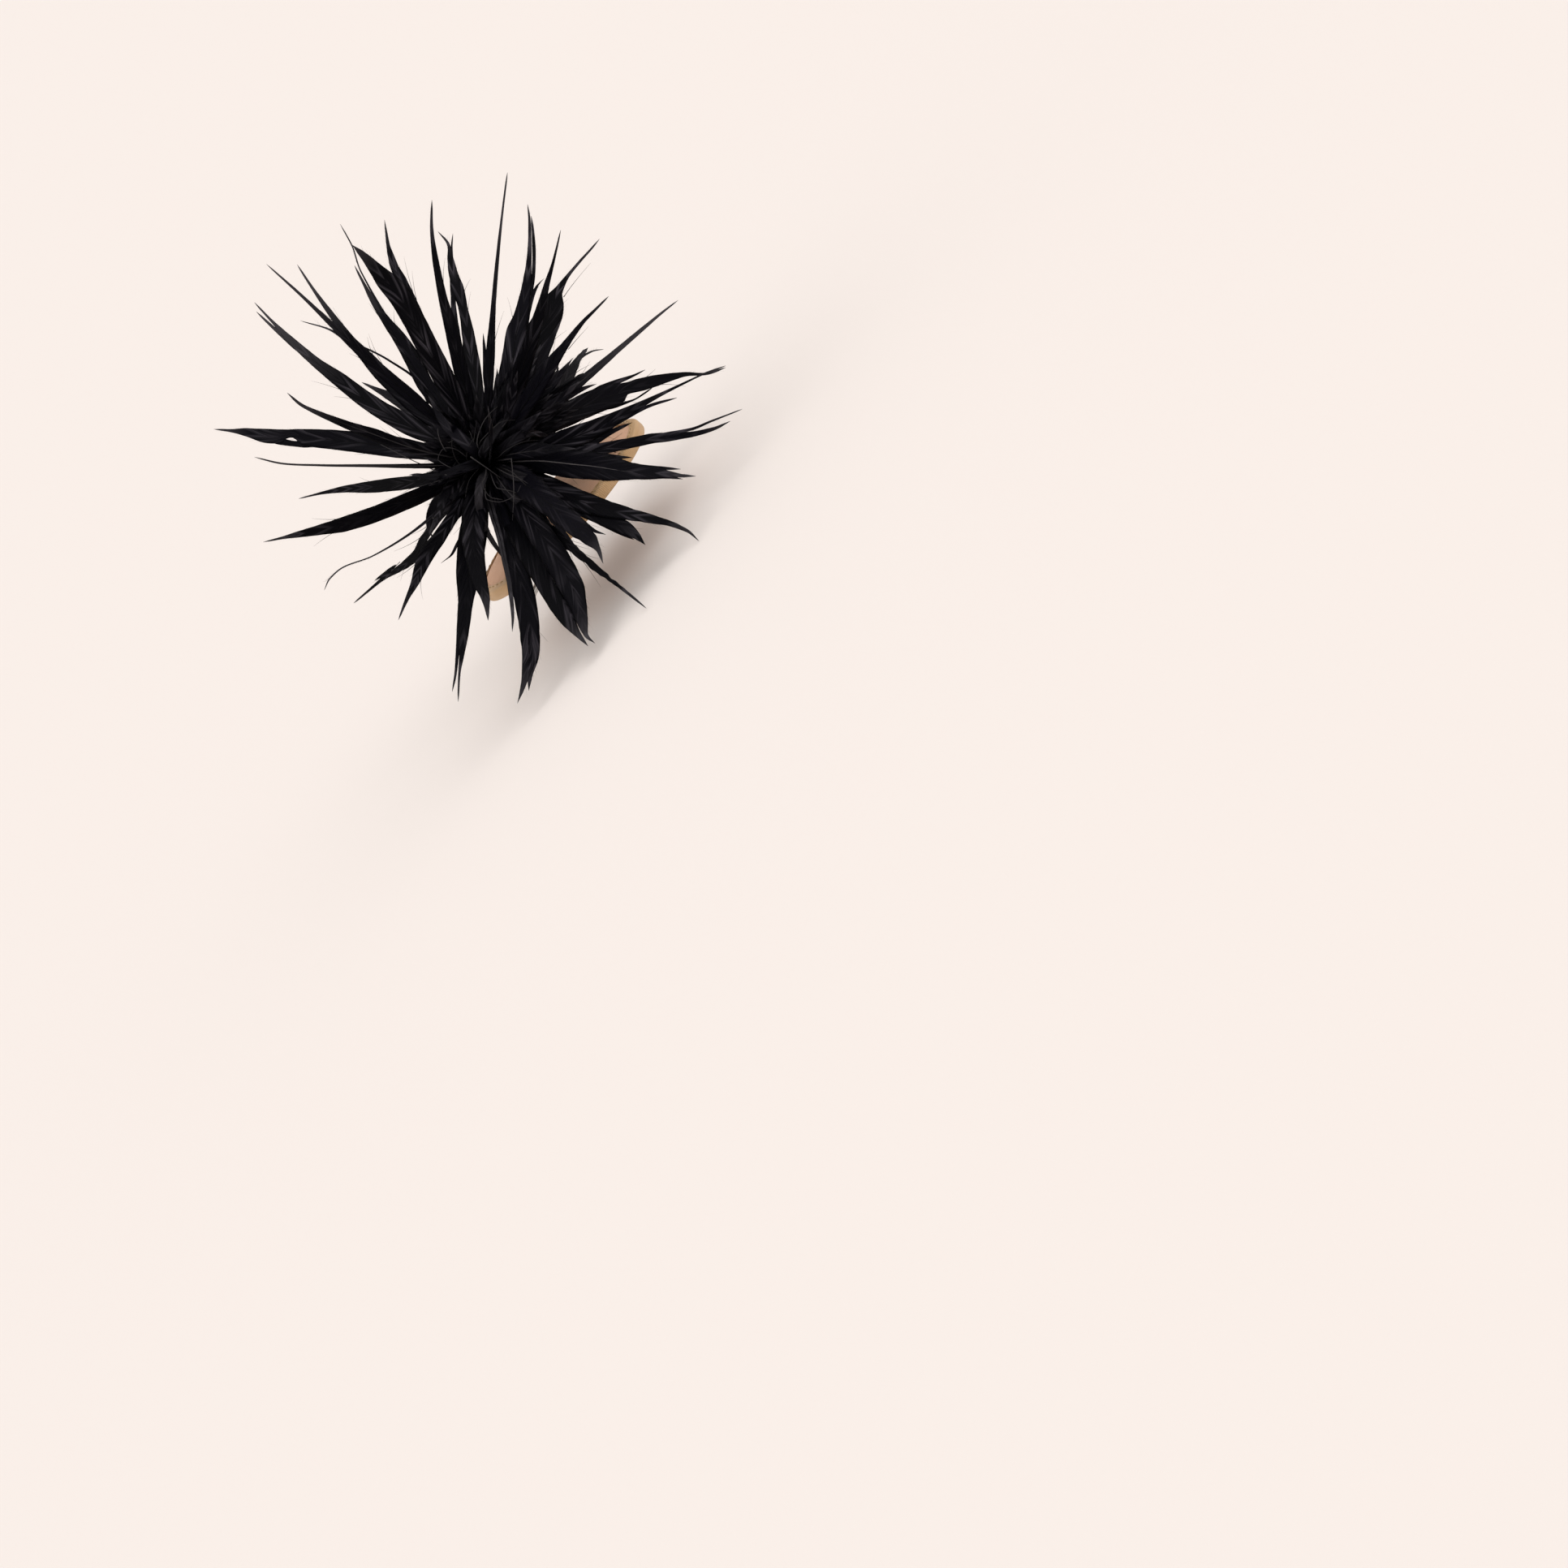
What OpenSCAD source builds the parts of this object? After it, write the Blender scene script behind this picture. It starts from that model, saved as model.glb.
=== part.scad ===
// Feather fascinator: a burst of trimmed feathers bound into a ball of thread, raised on a short
// taped stem from a small domed base with a ribbon edge, and a sprung hair clip sewn underneath.
// The stem stands a little off the base's centre.
// The origin is the centre of the base's rim, on the plane that lies against the head. +Z points
// outwards along the axis of the burst. The clip's jaws point along +X.

/* [Feathers] */
// Factor on every feather's length
feather_length_factor = 1; // [0.8:0.05:1.2]
// Factor on every feather's width
feather_width_factor = 1; // [0.7:0.05:1.3]
// Thickness of the quill at the root, mm
quill_d = 0.8; // [0.5:0.1:1.2]
// Part of the length over which a feather widens from its quill
vane_start = 0.38; // [0.2:0.02:0.6]
// Rings along each feather
feather_steps = 15; // [8:1:24]

/* [Binding and stem] */
// Height of the burst's centre above the rim plane, mm
hub_z = 24.6; // [20:0.2:28]
// Distance of the stem and burst from the base's centre along X, mm
hub_x = -3.8; // [-8:0.2:0]
// Diameter of the thread binding, mm
hub_d = 11; // [9:0.5:14]
// Gap between the binding's surface and each quill's end, mm
quill_gap = 0.05; // [0.02:0.01:0.1]
// Diameter of the stem wire, mm
stem_d = 1.6; // [1:0.1:3]
// Diameter over the stem tape, mm
stem_tape_d = 3.2; // [2.4:0.1:5]
// Thickness of the stitching thread, mm
thread_d = 0.7; // [0.4:0.1:1]
// Number of stitches round the stem's foot
stitch_count = 8; // [4:1:12]
// Length of each stitch, mm
stitch_length = 3.4; // [2:0.2:5]

/* [Base] */
// Diameter over the ribbon edge, mm
base_d = 60.4; // [50:0.2:90]
// Radius of the head that the base is shaped to, mm
head_r = 87; // [80:1:100]
// Thickness of the lining, mm
lining_t = 0.4; // [0.3:0.1:0.8]
// Thickness of the blocked core, mm
shell_t = 1.3; // [1:0.1:3]
// Thickness of the fabric cover, mm
cover_t = 0.5; // [0.3:0.1:1]
// Width of the ribbon edge on each face, mm
binding_w = 2.4; // [2:0.1:6]
// Thickness of the ribbon edge, mm
binding_t = 0.5; // [0.4:0.05:0.9]
// Height of the core's edge above the rim plane, mm
edge_lift = 0.62; // [0.56:0.02:1]

/* [Clip] */
// Length of the clip in front of the hinge, mm
jaw_length = 36; // [25:1:45]
// Length of the clip behind the hinge, mm
tab_length = 14; // [10:1:18]
// Half width of the fixed strip, mm
plate_half_w = 4.4; // [4:0.1:5]
// Half width of the lever, mm
lever_half_w = 3.5; // [3:0.1:3.8]
// Half width at the jaws' tips, mm
jaw_tip_half_w = 2.2; // [1.5:0.1:3]
// Thickness of the steel strip, mm
strip_t = 0.7; // [0.5:0.05:1]
// Distance of the hinge from the base's centre, mm
hinge_x = -12; // [-14:0.5:-8]
// Height of the hinge, mm
hinge_z = -1.6; // [-2.4:0.1:-1]
// Height of the fixed strip's lower face, mm
plate_z = 1.2; // [0.8:0.1:1.6]
// Diameter of the hinge pin, mm
pin_d = 1.6; // [1.2:0.1:2.4]
// Clearance round the pin in the lever's ears, mm
pin_clearance = 0.05; // [0.02:0.01:0.1]
// Diameter of the spring wire, mm
spring_wire_d = 0.6; // [0.4:0.05:0.8]
// Mean radius of the spring's coil, mm
coil_r = 1.5; // [1.3:0.1:1.8]
// Half width of the felt pad, mm
pad_half_w = 5.5; // [5:0.5:8]

/* [Hidden] */
$fn = 48;
black = [0.05, 0.05, 0.07];
nude = [0.83, 0.67, 0.57];
tan_ribbon = [0.78, 0.62, 0.42];
steel = [0.75, 0.74, 0.72];
felt = [0.10, 0.10, 0.11];

// One row per feather: azimuth and elevation of the quill, length along it, how far the tip is
// carried sideways and upwards, roll of the flat side, greatest width, and where it is widest.
// Angles are in degrees, lengths in mm, and the last value is in hundredths of the length.
feathers = [
    // upright and left side
    [ 138,  49, 76,   2,  -4, -40, 5.5, 60],
    [-146,  42, 68,   2,   6,  60, 1.2, 50],
    [-129,  47, 67,   6,   9,  30, 3.2, 50],
    [ 120,  55, 77, -11,   9, -15, 5.5, 60],
    [ -91,  83, 78,   1,   1,  20, 3.6, 65],
    [  98,  54, 77, -12,   6,  10, 4.8, 55],
    [  69,  62, 75,  -9,  -1,  40, 2.6, 60],
    [ -53,  56, 78,  -6,   5, -30, 7.4, 72],
    [  55,  51, 76,  -1,  -4,  55, 4.4, 66],
    [  80,  50, 72,  -8,  -2,   0, 3.2, 60],
    // upper right side
    [ -23,  59, 72,   1,  -8, -65, 3.0, 55],
    [  44,  37, 70,   1,   1,  40, 5.4, 66],
    [ -10,  42, 76,   0,  -5,  70, 2.0, 50],
    [  20,  18, 71,   7,  11,  60, 4.2, 66],
    [ -24,  21, 70,  -4,   5, -75, 2.4, 55],
    [  38,  12, 74, -10,  -5,  60, 6.6, 74],
    [ -38,  11, 70,  -5,  -2,  75, 3.0, 60],
    [  43,  -7, 69,  10,  -2,  70, 3.6, 66],
    [  29, -10, 76,  -1,  -2,  75, 2.4, 60],
    [  20, -15, 74,   7, -17,  80, 5.0, 74],
    // lower right side, over the edge of the base
    [ -46, -18, 73,  14,  -1,  50, 3.0, 55],
    [ -60, -20, 73,  20,  -9,  40, 3.0, 60],
    [ -69, -12, 74,   8, -17,  20, 6.6, 66],
    [ -80, -16, 76,   9, -23,  10, 6.6, 70],
    [ -83,  -6, 69,  -8, -21,   0, 4.8, 66],
    [ -94, -19, 82,   4, -17,   0, 2.4, 60],
    [-104, -19, 78,  -3, -14, -15, 5.4, 66],
    [ -92, -12, 74, -14, -25, -10, 5.2, 70],
    [-103, -10, 68, -27, -26, -30, 5.0, 66],
    [-114,  -9, 71,   0, -12, -30, 1.8, 50],
    // lower left side
    [-117,   0, 72,   4, -16, -40, 4.2, 60],
    [-126, -12, 75, -10, -11, -45, 4.8, 66],
    [-132,   6, 71,   5,  -8, -60, 3.8, 60],
    [ 139,  -8, 72,  -4,   4, -70, 4.2, 66],
    [-143,   6, 69,   5,  10, -75, 1.2, 50],
    [-143,  22, 76,   3,   8,  65, 4.8, 66],
    [ 130,  17, 70,  -3,   3, -45, 3.2, 60],
    [-109,  20, 58,  -4, -13, -70, 3.0, 60],
    // towards the near side
    [ -88,   6, 54,   9,  12,  30, 3.4, 60],
    [-100,  11, 46, -10,   8, -30, 3.0, 60],
    [ -72,   1, 44,   4,  -9,  20, 3.4, 60],
    // far side
    [  90,  20, 74,   6,   4,  10, 5.0, 60],
    [  75,  -5, 72,  -4,  -3,  10, 4.6, 60],
    [ 105,  -5, 72,   5,  -3, -10, 4.6, 60],
    [  90, -22, 74,   0,  -4,   5, 5.0, 60],
    [  60, -20, 74,   2,  -2,  20, 4.6, 66]
];

// Space inside the ribbon's fold, and the gap between layers that lie on each other
fold_r = 0.9;
layer_gap = 0.06;
shell_r = head_r + lining_t;
cover_r = shell_r + shell_t;
outer_r = cover_r + cover_t;
edge_r = base_d / 2 - binding_t - fold_r;
dome_z = edge_lift - sqrt(head_r * head_r - edge_r * edge_r);
dome_top = dome_z + outer_r;
// Spring coil, and the radius of the ears that hold its pin
coil_count = 7;
coil_pitch = spring_wire_d + 0.04;
ear_r = 2.1;
// Depth of the lever's bend under the pin, and of its thumb tab's end
bend_depth = 2.45;
tab_depth = 6.6;
// Length of the strips' tapered front
taper_length = 18;
// Distance from the stem to the inner end of each stitch
stitch_inset = 1.2;

function two_digits(n) = n < 10 ? str("0", n) : str(n);
function feather_name(i) = str("feather_", two_digits(i + 1));
function dome_height(r, at) = dome_z + sqrt(r * r - at * at);
function unit(v) = v / norm(v);

// ---- feathers ----

// Share of the full width at t along the feather, where pk is the widest place
function vane(t, pk) =
    let (rise = min(1, t / vane_start), fall = t <= pk ? 0 : (t - pk) / (1 - pk))
    rise * rise * (3 - 2 * rise) * (1 - pow(fall, 1.7));

// The four corners of the feather's section at t: edge, ridge, edge, ridge
function feather_ring(f, t) =
    let (
        az = f[0], el = f[1],
        along = [cos(el) * cos(az), cos(el) * sin(az), sin(el)],
        side = [-sin(az), cos(az), 0],
        up = cross(along, side),
        start = hub_d / 2 + quill_gap,
        reach = f[2] * feather_length_factor,
        carry = side * f[3] + up * f[4],
        travel = start + (reach - start) * t,
        bend = pow(travel / reach, 2) - pow(start / reach, 2) * (1 - t),
        centre = [hub_x, 0, hub_z] + along * travel + carry * bend,
        tangent = unit(along * reach + carry * 2 * t),
        flat = side * cos(f[5]) + up * sin(f[5]),
        wide = unit(flat - tangent * (flat * tangent)),
        thick = cross(tangent, wide),
        quill = quill_d / 2,
        half_w = quill * (1 - 0.6 * t)
            + max(0, f[6] * feather_width_factor / 2 - quill) * vane(t, f[7] / 100),
        half_t = quill * (1 - 0.75 * t)
    )
    [centre + wide * half_w, centre + thick * half_t,
     centre - wide * half_w, centre - thick * half_t];

module feather(f) {
    rings = [for (i = [0 : feather_steps]) each feather_ring(f, i / feather_steps)];
    last = 4 * feather_steps;
    sides = [for (i = [0 : feather_steps - 1], k = [0 : 3])
        let (a = 4 * i + k, b = 4 * i + (k + 1) % 4)
        each [[a, b, b + 4], [a, b + 4, a + 4]]];
    ends = [[0, 3, 2], [0, 2, 1], [last, last + 1, last + 2], [last, last + 2, last + 3]];
    color(black) polyhedron(points = rings, faces = concat(sides, ends));
}

// ---- base ----

module dome_layer(r_in, r_out) {
    translate([0, 0, dome_z])
    intersection() {
        difference() {
            sphere(r = r_out, $fn = 96);
            sphere(r = r_in, $fn = 96);
        }
        translate([0, 0, r_in / 2]) cylinder(r = edge_r, h = r_out, $fn = 96);
    }
}

module base_lining() { color(nude) dome_layer(head_r, shell_r); }

module base_shell() { color(nude) dome_layer(shell_r, cover_r); }

module base_cover() { color(nude) dome_layer(cover_r, outer_r); }

// Ribbon folded over the edge, lying flat on the rim plane
module edge_binding() {
    r_out = base_d / 2;
    r_top = r_out - binding_w;
    r_low = r_top + 0.3;
    r_core = edge_r + layer_gap;
    z_edge = dome_height(outer_r, edge_r);
    z_top = dome_height(outer_r, r_top);
    color(tan_ribbon) rotate_extrude($fn = 96) polygon([
        [r_low, 0], [r_out - 0.3, 0], [r_out, 0.5],
        [r_out, z_edge - 0.1], [r_out - 0.7, z_edge + binding_t],
        [r_top, z_top + binding_t], [r_top, z_top + layer_gap],
        [r_core, z_edge + layer_gap],
        [r_core, edge_lift - layer_gap], [r_low, edge_lift - layer_gap]
    ]);
}

// ---- binding and stem ----

module stem_wire() {
    foot_z = dome_height(outer_r, max(0, abs(hub_x) - stem_d / 2));
    color(steel) translate([hub_x, 0, foot_z]) cylinder(d = stem_d, h = hub_z - foot_z);
}

module stem_tape() {
    z0 = dome_top + thread_d + 0.1;
    tape_h = hub_z - hub_d / 2 - z0 - 0.02;
    color(black) translate([hub_x, 0, z0]) difference() {
        cylinder(d = stem_tape_d, h = tape_h);
        translate([0, 0, -1]) cylinder(d = stem_d, h = tape_h + 2);
    }
}

module thread_binding() {
    color(black) translate([hub_x, 0, hub_z]) difference() {
        sphere(d = hub_d);
        translate([0, 0, -hub_d]) cylinder(d = stem_d, h = hub_d);
    }
}

module flower_stitches() {
    color(black) translate([hub_x, 0, 0]) for (i = [0 : stitch_count - 1])
        rotate([0, 0, i * 360 / stitch_count])
        translate([stem_d / 2 + stitch_inset, 0, dome_top + thread_d / 2])
        rotate([0, 90, 0]) cylinder(d = thread_d, h = stitch_length - stitch_inset, $fn = 16);
}

// ---- clip ----

// A strip seen from above that narrows towards the jaw's tip
module strip_outline(half_w, x_back, x_front) {
    x_taper = x_front - taper_length;
    polygon([[x_back, -half_w], [x_taper, -half_w], [x_front, -jaw_tip_half_w],
             [x_front, jaw_tip_half_w], [x_taper, half_w], [x_back, half_w]]);
}

// An upright ear round the pin, from y0 to y0 + strip_t; the points join it to its strip
module ear(y0, foot, hole_d) {
    translate([0, y0 + strip_t, 0]) rotate([90, 0, 0]) linear_extrude(strip_t)
    difference() {
        union() {
            translate([hinge_x, hinge_z]) circle(r = ear_r);
            polygon(foot);
        }
        translate([hinge_x, hinge_z]) circle(d = hole_d);
    }
}

module clip_plate() {
    foot = [[hinge_x - ear_r, hinge_z], [hinge_x + ear_r, hinge_z],
            [hinge_x + 3, plate_z + 0.3], [hinge_x - 3, plate_z + 0.3]];
    color(steel) {
        translate([0, 0, plate_z]) linear_extrude(strip_t + 0.1)
            strip_outline(plate_half_w, hinge_x - tab_length + 3, hinge_x + jaw_length);
        for (y = [-plate_half_w, plate_half_w - strip_t]) ear(y, foot, pin_d);
    }
}

module clip_lever() {
    top = plate_z - 0.1;
    low = top - strip_t;
    x_front = hinge_x + jaw_length;
    x_back = hinge_x - tab_length;
    z_back = hinge_z - tab_depth;
    under = hinge_z - bend_depth;
    foot = [[hinge_x - ear_r, hinge_z], [hinge_x + ear_r, hinge_z],
            [hinge_x + 2.5, under + 0.6], [hinge_x - 2.5, under - 0.6]];
    color(steel) {
        intersection() {
            translate([0, lever_half_w, 0]) rotate([90, 0, 0]) linear_extrude(2 * lever_half_w)
            polygon([
                [x_front, top], [hinge_x + 4.2, top], [hinge_x + 2.5, under + 0.8],
                [hinge_x, under], [x_back, z_back],
                [x_back, z_back - strip_t], [hinge_x, under - strip_t],
                [hinge_x + 3.1, under + 0.3], [hinge_x + 4.8, low], [x_front, low]
            ]);
            translate([0, 0, z_back - 2]) linear_extrude(20)
                strip_outline(lever_half_w, x_back - 1, x_front);
        }
        for (y = [-lever_half_w, lever_half_w - strip_t])
            ear(y, foot, pin_d + 2 * pin_clearance);
    }
}

module clip_hinge_pin() {
    y_head = plate_half_w;
    color(steel) translate([hinge_x, 0, hinge_z]) rotate([90, 0, 0]) {
        cylinder(d = pin_d, h = 2 * y_head, center = true);
        for (s = [-1, 1]) translate([0, 0, s * (y_head + 0.25)])
            cylinder(d = pin_d + 0.8, h = 0.5, center = true);
    }
}

// A straight wire between two points in the plane y
module spring_leg(y, a, b) {
    d = b - a;
    translate([a[0], y, a[1]]) rotate([0, atan2(d[0], d[1]), 0])
        cylinder(d = spring_wire_d, h = norm(d), $fn = 24);
}

module clip_spring() {
    y_end = (coil_count - 1) / 2 * coil_pitch;
    color(steel) {
        for (i = [0 : coil_count - 1])
            translate([hinge_x, i * coil_pitch - y_end, hinge_z]) rotate([90, 0, 0])
            rotate_extrude() translate([coil_r, 0]) circle(d = spring_wire_d, $fn = 24);
        spring_leg(y_end, [hinge_x, hinge_z + coil_r], [hinge_x - 8, plate_z - 0.33]);
        spring_leg(-y_end, [hinge_x, hinge_z - coil_r], [hinge_x - 9, hinge_z - 4.75]);
    }
}

// Felt between the clip's flat strip and the curved lining
module clip_pad() {
    z0 = plate_z + strip_t + 0.1;
    color(felt) intersection() {
        translate([-22, -pad_half_w, z0]) cube([42, 2 * pad_half_w, 8]);
        translate([0, 0, dome_z]) sphere(r = head_r, $fn = 240);
    }
}

for (i = [0 : len(feathers) - 1])
    feather(feathers[i]);
base_shell();
base_cover();
edge_binding();
base_lining();
stem_wire();
stem_tape();
thread_binding();
flower_stitches();
clip_plate();
clip_lever();
clip_hinge_pin();
clip_spring();
clip_pad();
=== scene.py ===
"""Looks of the feather fascinator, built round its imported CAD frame. Lengths are in metres."""

import math
import random

import bpy
import numpy as np
from mathutils import Matrix, Vector


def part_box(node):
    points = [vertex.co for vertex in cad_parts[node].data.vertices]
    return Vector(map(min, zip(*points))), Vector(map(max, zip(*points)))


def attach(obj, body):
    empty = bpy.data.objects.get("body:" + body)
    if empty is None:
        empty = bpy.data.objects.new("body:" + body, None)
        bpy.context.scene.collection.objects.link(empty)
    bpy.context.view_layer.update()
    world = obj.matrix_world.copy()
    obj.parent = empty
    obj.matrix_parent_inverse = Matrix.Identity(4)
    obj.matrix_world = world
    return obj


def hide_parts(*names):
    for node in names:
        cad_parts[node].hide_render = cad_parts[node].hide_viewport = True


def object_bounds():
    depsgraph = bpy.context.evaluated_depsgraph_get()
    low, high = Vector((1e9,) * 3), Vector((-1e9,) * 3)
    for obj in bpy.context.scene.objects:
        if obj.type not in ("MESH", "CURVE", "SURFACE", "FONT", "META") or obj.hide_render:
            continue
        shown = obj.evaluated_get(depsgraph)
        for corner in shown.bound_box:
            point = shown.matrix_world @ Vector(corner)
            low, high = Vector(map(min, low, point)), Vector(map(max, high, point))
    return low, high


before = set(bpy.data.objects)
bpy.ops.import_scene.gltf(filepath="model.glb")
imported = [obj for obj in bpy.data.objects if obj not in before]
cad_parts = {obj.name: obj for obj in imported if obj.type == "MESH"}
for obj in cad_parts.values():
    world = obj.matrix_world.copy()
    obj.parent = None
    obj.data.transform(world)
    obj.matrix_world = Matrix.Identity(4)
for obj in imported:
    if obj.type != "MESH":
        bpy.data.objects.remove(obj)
cad_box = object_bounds()

MM = 0.001
BODY = "headpiece"
LEVER = "lever"
TURN = 2 * math.pi


def box_of(node):
    """Lowest and highest corner of a CAD node, and its centre."""
    low, high = (np.array(corner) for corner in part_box(node))
    return low, high, (low + high) / 2


def cap_of(node):
    """Rim radius of a domed layer, and the radius and centre height of its outer face."""
    low, high, _ = box_of(node)
    rim = high[0]
    co = np.array([v.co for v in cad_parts[node].data.vertices])
    edge = co[np.hypot(co[:, 0], co[:, 1]) > rim - 0.05 * MM]
    rise = high[2] - edge[:, 2].max()
    sphere = (rim * rim + rise * rise) / (2 * rise)
    return rim, sphere, high[2] - sphere


def cap_height(cap, flat):
    """Height of a cap's outer face at `flat` from its axis."""
    _, sphere, centre = cap
    return centre + np.sqrt(sphere ** 2 - flat ** 2)


HUB = box_of("thread_binding")[2]
HUB_R = (box_of("thread_binding")[1] - HUB)[0]
BASE_R = box_of("edge_binding")[1][0]
COVER_CAP = cap_of("base_cover")


# ---------------------------------------------------------------- camera

VIEW_ELEVATION = math.radians(9)     # above the plane of the base's rim
VIEW_ROLL = math.radians(48.7)       # how far the burst's axis leans left of upright
VIEW_DISTANCE = 1.6
HALF_FRAME = 0.1269                  # half the frame's width over the distance
HUB_IN_FRAME = (-0.379, 0.410)       # from the frame's centre, in half frames
SENSOR = 36.0


def view_axes():
    """Image right, image up and towards the camera, for a camera that faces the hub."""
    lean, tilt = VIEW_ROLL, VIEW_ELEVATION
    level_up = Vector((0, math.sin(tilt), math.cos(tilt)))
    right = Vector((math.cos(lean), 0, 0)) - math.sin(lean) * level_up
    up = Vector((math.sin(lean), 0, 0)) + math.cos(lean) * level_up
    return right, up, right.cross(up)


RIGHT, IMAGE_UP, TO_CAMERA = view_axes()


def make_camera():
    """A camera that looks along the view axes, with the hub at its place in the frame."""
    data = bpy.data.cameras.new("camera")
    data.sensor_width = SENSOR
    data.lens = SENSOR / 2 / HALF_FRAME
    data.clip_start, data.clip_end = 0.05, 50
    cam = bpy.data.objects.new("camera", data)
    bpy.context.scene.collection.objects.link(cam)
    facing = Matrix((RIGHT, IMAGE_UP, TO_CAMERA)).transposed()
    x, y = (HALF_FRAME * c for c in HUB_IN_FRAME)
    turn = Vector((x, y, -1)).rotation_difference(Vector((0, 0, -1)))
    cam.matrix_world = Matrix.Translation(Vector(HUB) + TO_CAMERA * VIEW_DISTANCE) @ (
        facing @ turn.to_matrix()
    ).to_4x4()
    bpy.context.scene.camera = cam


# ---------------------------------------------------------------- node helpers

class Nodes:
    """A short way to write a material's node tree."""

    def __init__(self, name):
        self.material = bpy.data.materials.new(name)
        self.material.use_nodes = True
        self.tree = self.material.node_tree
        self.shader = self.tree.nodes["Principled BSDF"]

    def add(self, kind, inputs=None, **settings):
        node = self.tree.nodes.new(kind)
        for key, value in settings.items():
            setattr(node, key, value)
        for key, value in (inputs or {}).items():
            if isinstance(value, bpy.types.NodeSocket):
                self.tree.links.new(value, node.inputs[key])
            else:
                node.inputs[key].default_value = value
        return node

    def set(self, **values):
        for key, value in values.items():
            socket = self.shader.inputs[key.replace("_", " ")]
            if isinstance(value, bpy.types.NodeSocket):
                self.tree.links.new(value, socket)
            else:
                socket.default_value = value

    def attribute(self, name):
        return self.add("ShaderNodeAttribute", attribute_name=name).outputs["Fac"]

    def uv(self, name="lay"):
        return self.add("ShaderNodeUVMap", uv_map=name).outputs["UV"]

    def object_space(self):
        return self.add("ShaderNodeTexCoord").outputs["Object"]

    def scaled(self, vector, scale):
        return self.add("ShaderNodeMapping", {"Vector": vector, "Scale": scale}).outputs["Vector"]

    def noise(self, vector, scale, detail=3.0, rough=0.5):
        return self.add("ShaderNodeTexNoise", {
            "Vector": vector, "Scale": scale, "Detail": detail, "Roughness": rough,
        }).outputs["Fac"]

    def wave(self, vector, scale, direction="X", distortion=0.0, detail_scale=1.0):
        return self.add("ShaderNodeTexWave", {
            "Vector": vector, "Scale": scale, "Distortion": distortion,
            "Detail Scale": detail_scale,
        }, bands_direction=direction, wave_profile="SIN").outputs["Fac"]

    def math(self, operation, a, b=0.0):
        return self.add("ShaderNodeMath", {0: a, 1: b}, operation=operation).outputs[0]

    def ramp(self, fac, low, high, start=0.3, end=0.7):
        return self.add("ShaderNodeMapRange", {
            "Value": fac, "From Min": start, "From Max": end, "To Min": low, "To Max": high,
        }).outputs["Result"]

    def mix(self, fac, a, b):
        return self.add("ShaderNodeMix", {0: fac, 6: a, 7: b}, data_type="RGBA").outputs[2]

    def bump(self, height, distance, strength=1.0, normal=None):
        inputs = {"Height": height, "Distance": distance, "Strength": strength}
        if normal is not None:
            inputs["Normal"] = normal
        return self.add("ShaderNodeBump", inputs).outputs["Normal"]


def rgb(red, green, blue):
    return (red, green, blue, 1.0)


# ---------------------------------------------------------------- materials

def vane_material():
    """Dyed feather: near black with a violet cast, painted sheen streaks (painted highlights in the
    base colour), grey where it is thin.
    """
    n = Nodes("feather_vane")
    uv = n.uv()
    barbs = n.noise(n.scaled(uv, (0.3, 4.0, 1.0)), 1.0, 2.0)
    streaks = n.noise(n.scaled(uv, (0.045, 1.1, 1.0)), 1.0, 3.0)
    patches = n.noise(n.scaled(uv, (0.05, 0.16, 1.0)), 1.0, 1.0)
    # painted sheen: lighter satin streaks put into the base colour as painted highlights
    painted_sheen_mask = n.math("MULTIPLY", n.ramp(streaks, 0.0, 1.0, 0.5, 0.68),
                   n.ramp(patches, 0.0, 1.0, 0.36, 0.6))
    body = n.mix(n.math("MULTIPLY", n.attribute("tone"), barbs),
                 rgb(0.0004, 0.0004, 0.0010), rgb(0.0042, 0.0037, 0.0078))
    sheen_painted_colour = n.mix(painted_sheen_mask, body, rgb(0.046, 0.0425, 0.052))
    n.set(
        Base_Color=n.mix(n.attribute("thin"), sheen_painted_colour, rgb(0.070, 0.066, 0.074)),
        Roughness=n.ramp(n.math("ADD", barbs, streaks), 0.34, 0.66, 0.7, 1.3),
        IOR=1.13,
        Normal=n.bump(barbs, 0.00012, 0.9, n.bump(streaks, 0.0006, 0.7)),
    )
    return n.material


def shaft_material():
    """Quill shaft: dark dyed horn that goes pale grey where the dye has worn thin."""
    n = Nodes("feather_shaft")
    streaks = n.noise(n.scaled(n.uv(), (0.25, 3.0, 1.0)), 1.0, 3.0)
    pale = n.math("MULTIPLY", n.attribute("pale"), n.ramp(streaks, 0.55, 1.2))
    n.set(
        Base_Color=n.mix(pale, rgb(0.0012, 0.0012, 0.002), rgb(0.15, 0.14, 0.145)),
        Roughness=n.ramp(streaks, 0.4, 0.6),
        IOR=1.15,
        Normal=n.bump(streaks, 0.0001, 0.4),
    )
    return n.material


def thread_material(name, dark, light):
    """Twisted thread: slanting plies round its length."""
    n = Nodes(name)
    uv = n.uv()
    plies = n.wave(n.scaled(uv, (1.1, 0.16, 1.0)), 2.2, "DIAGONAL", 0.6)
    fuzz = n.noise(n.scaled(uv, (4.0, 2.0, 1.0)), 1.0, 3.0)
    n.set(
        Base_Color=n.mix(n.math("MULTIPLY", plies, fuzz), dark, light),
        Roughness=n.ramp(fuzz, 0.55, 0.8),
        IOR=1.2,
        Normal=n.bump(plies, 0.00012, 0.8),
    )
    return n.material


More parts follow.
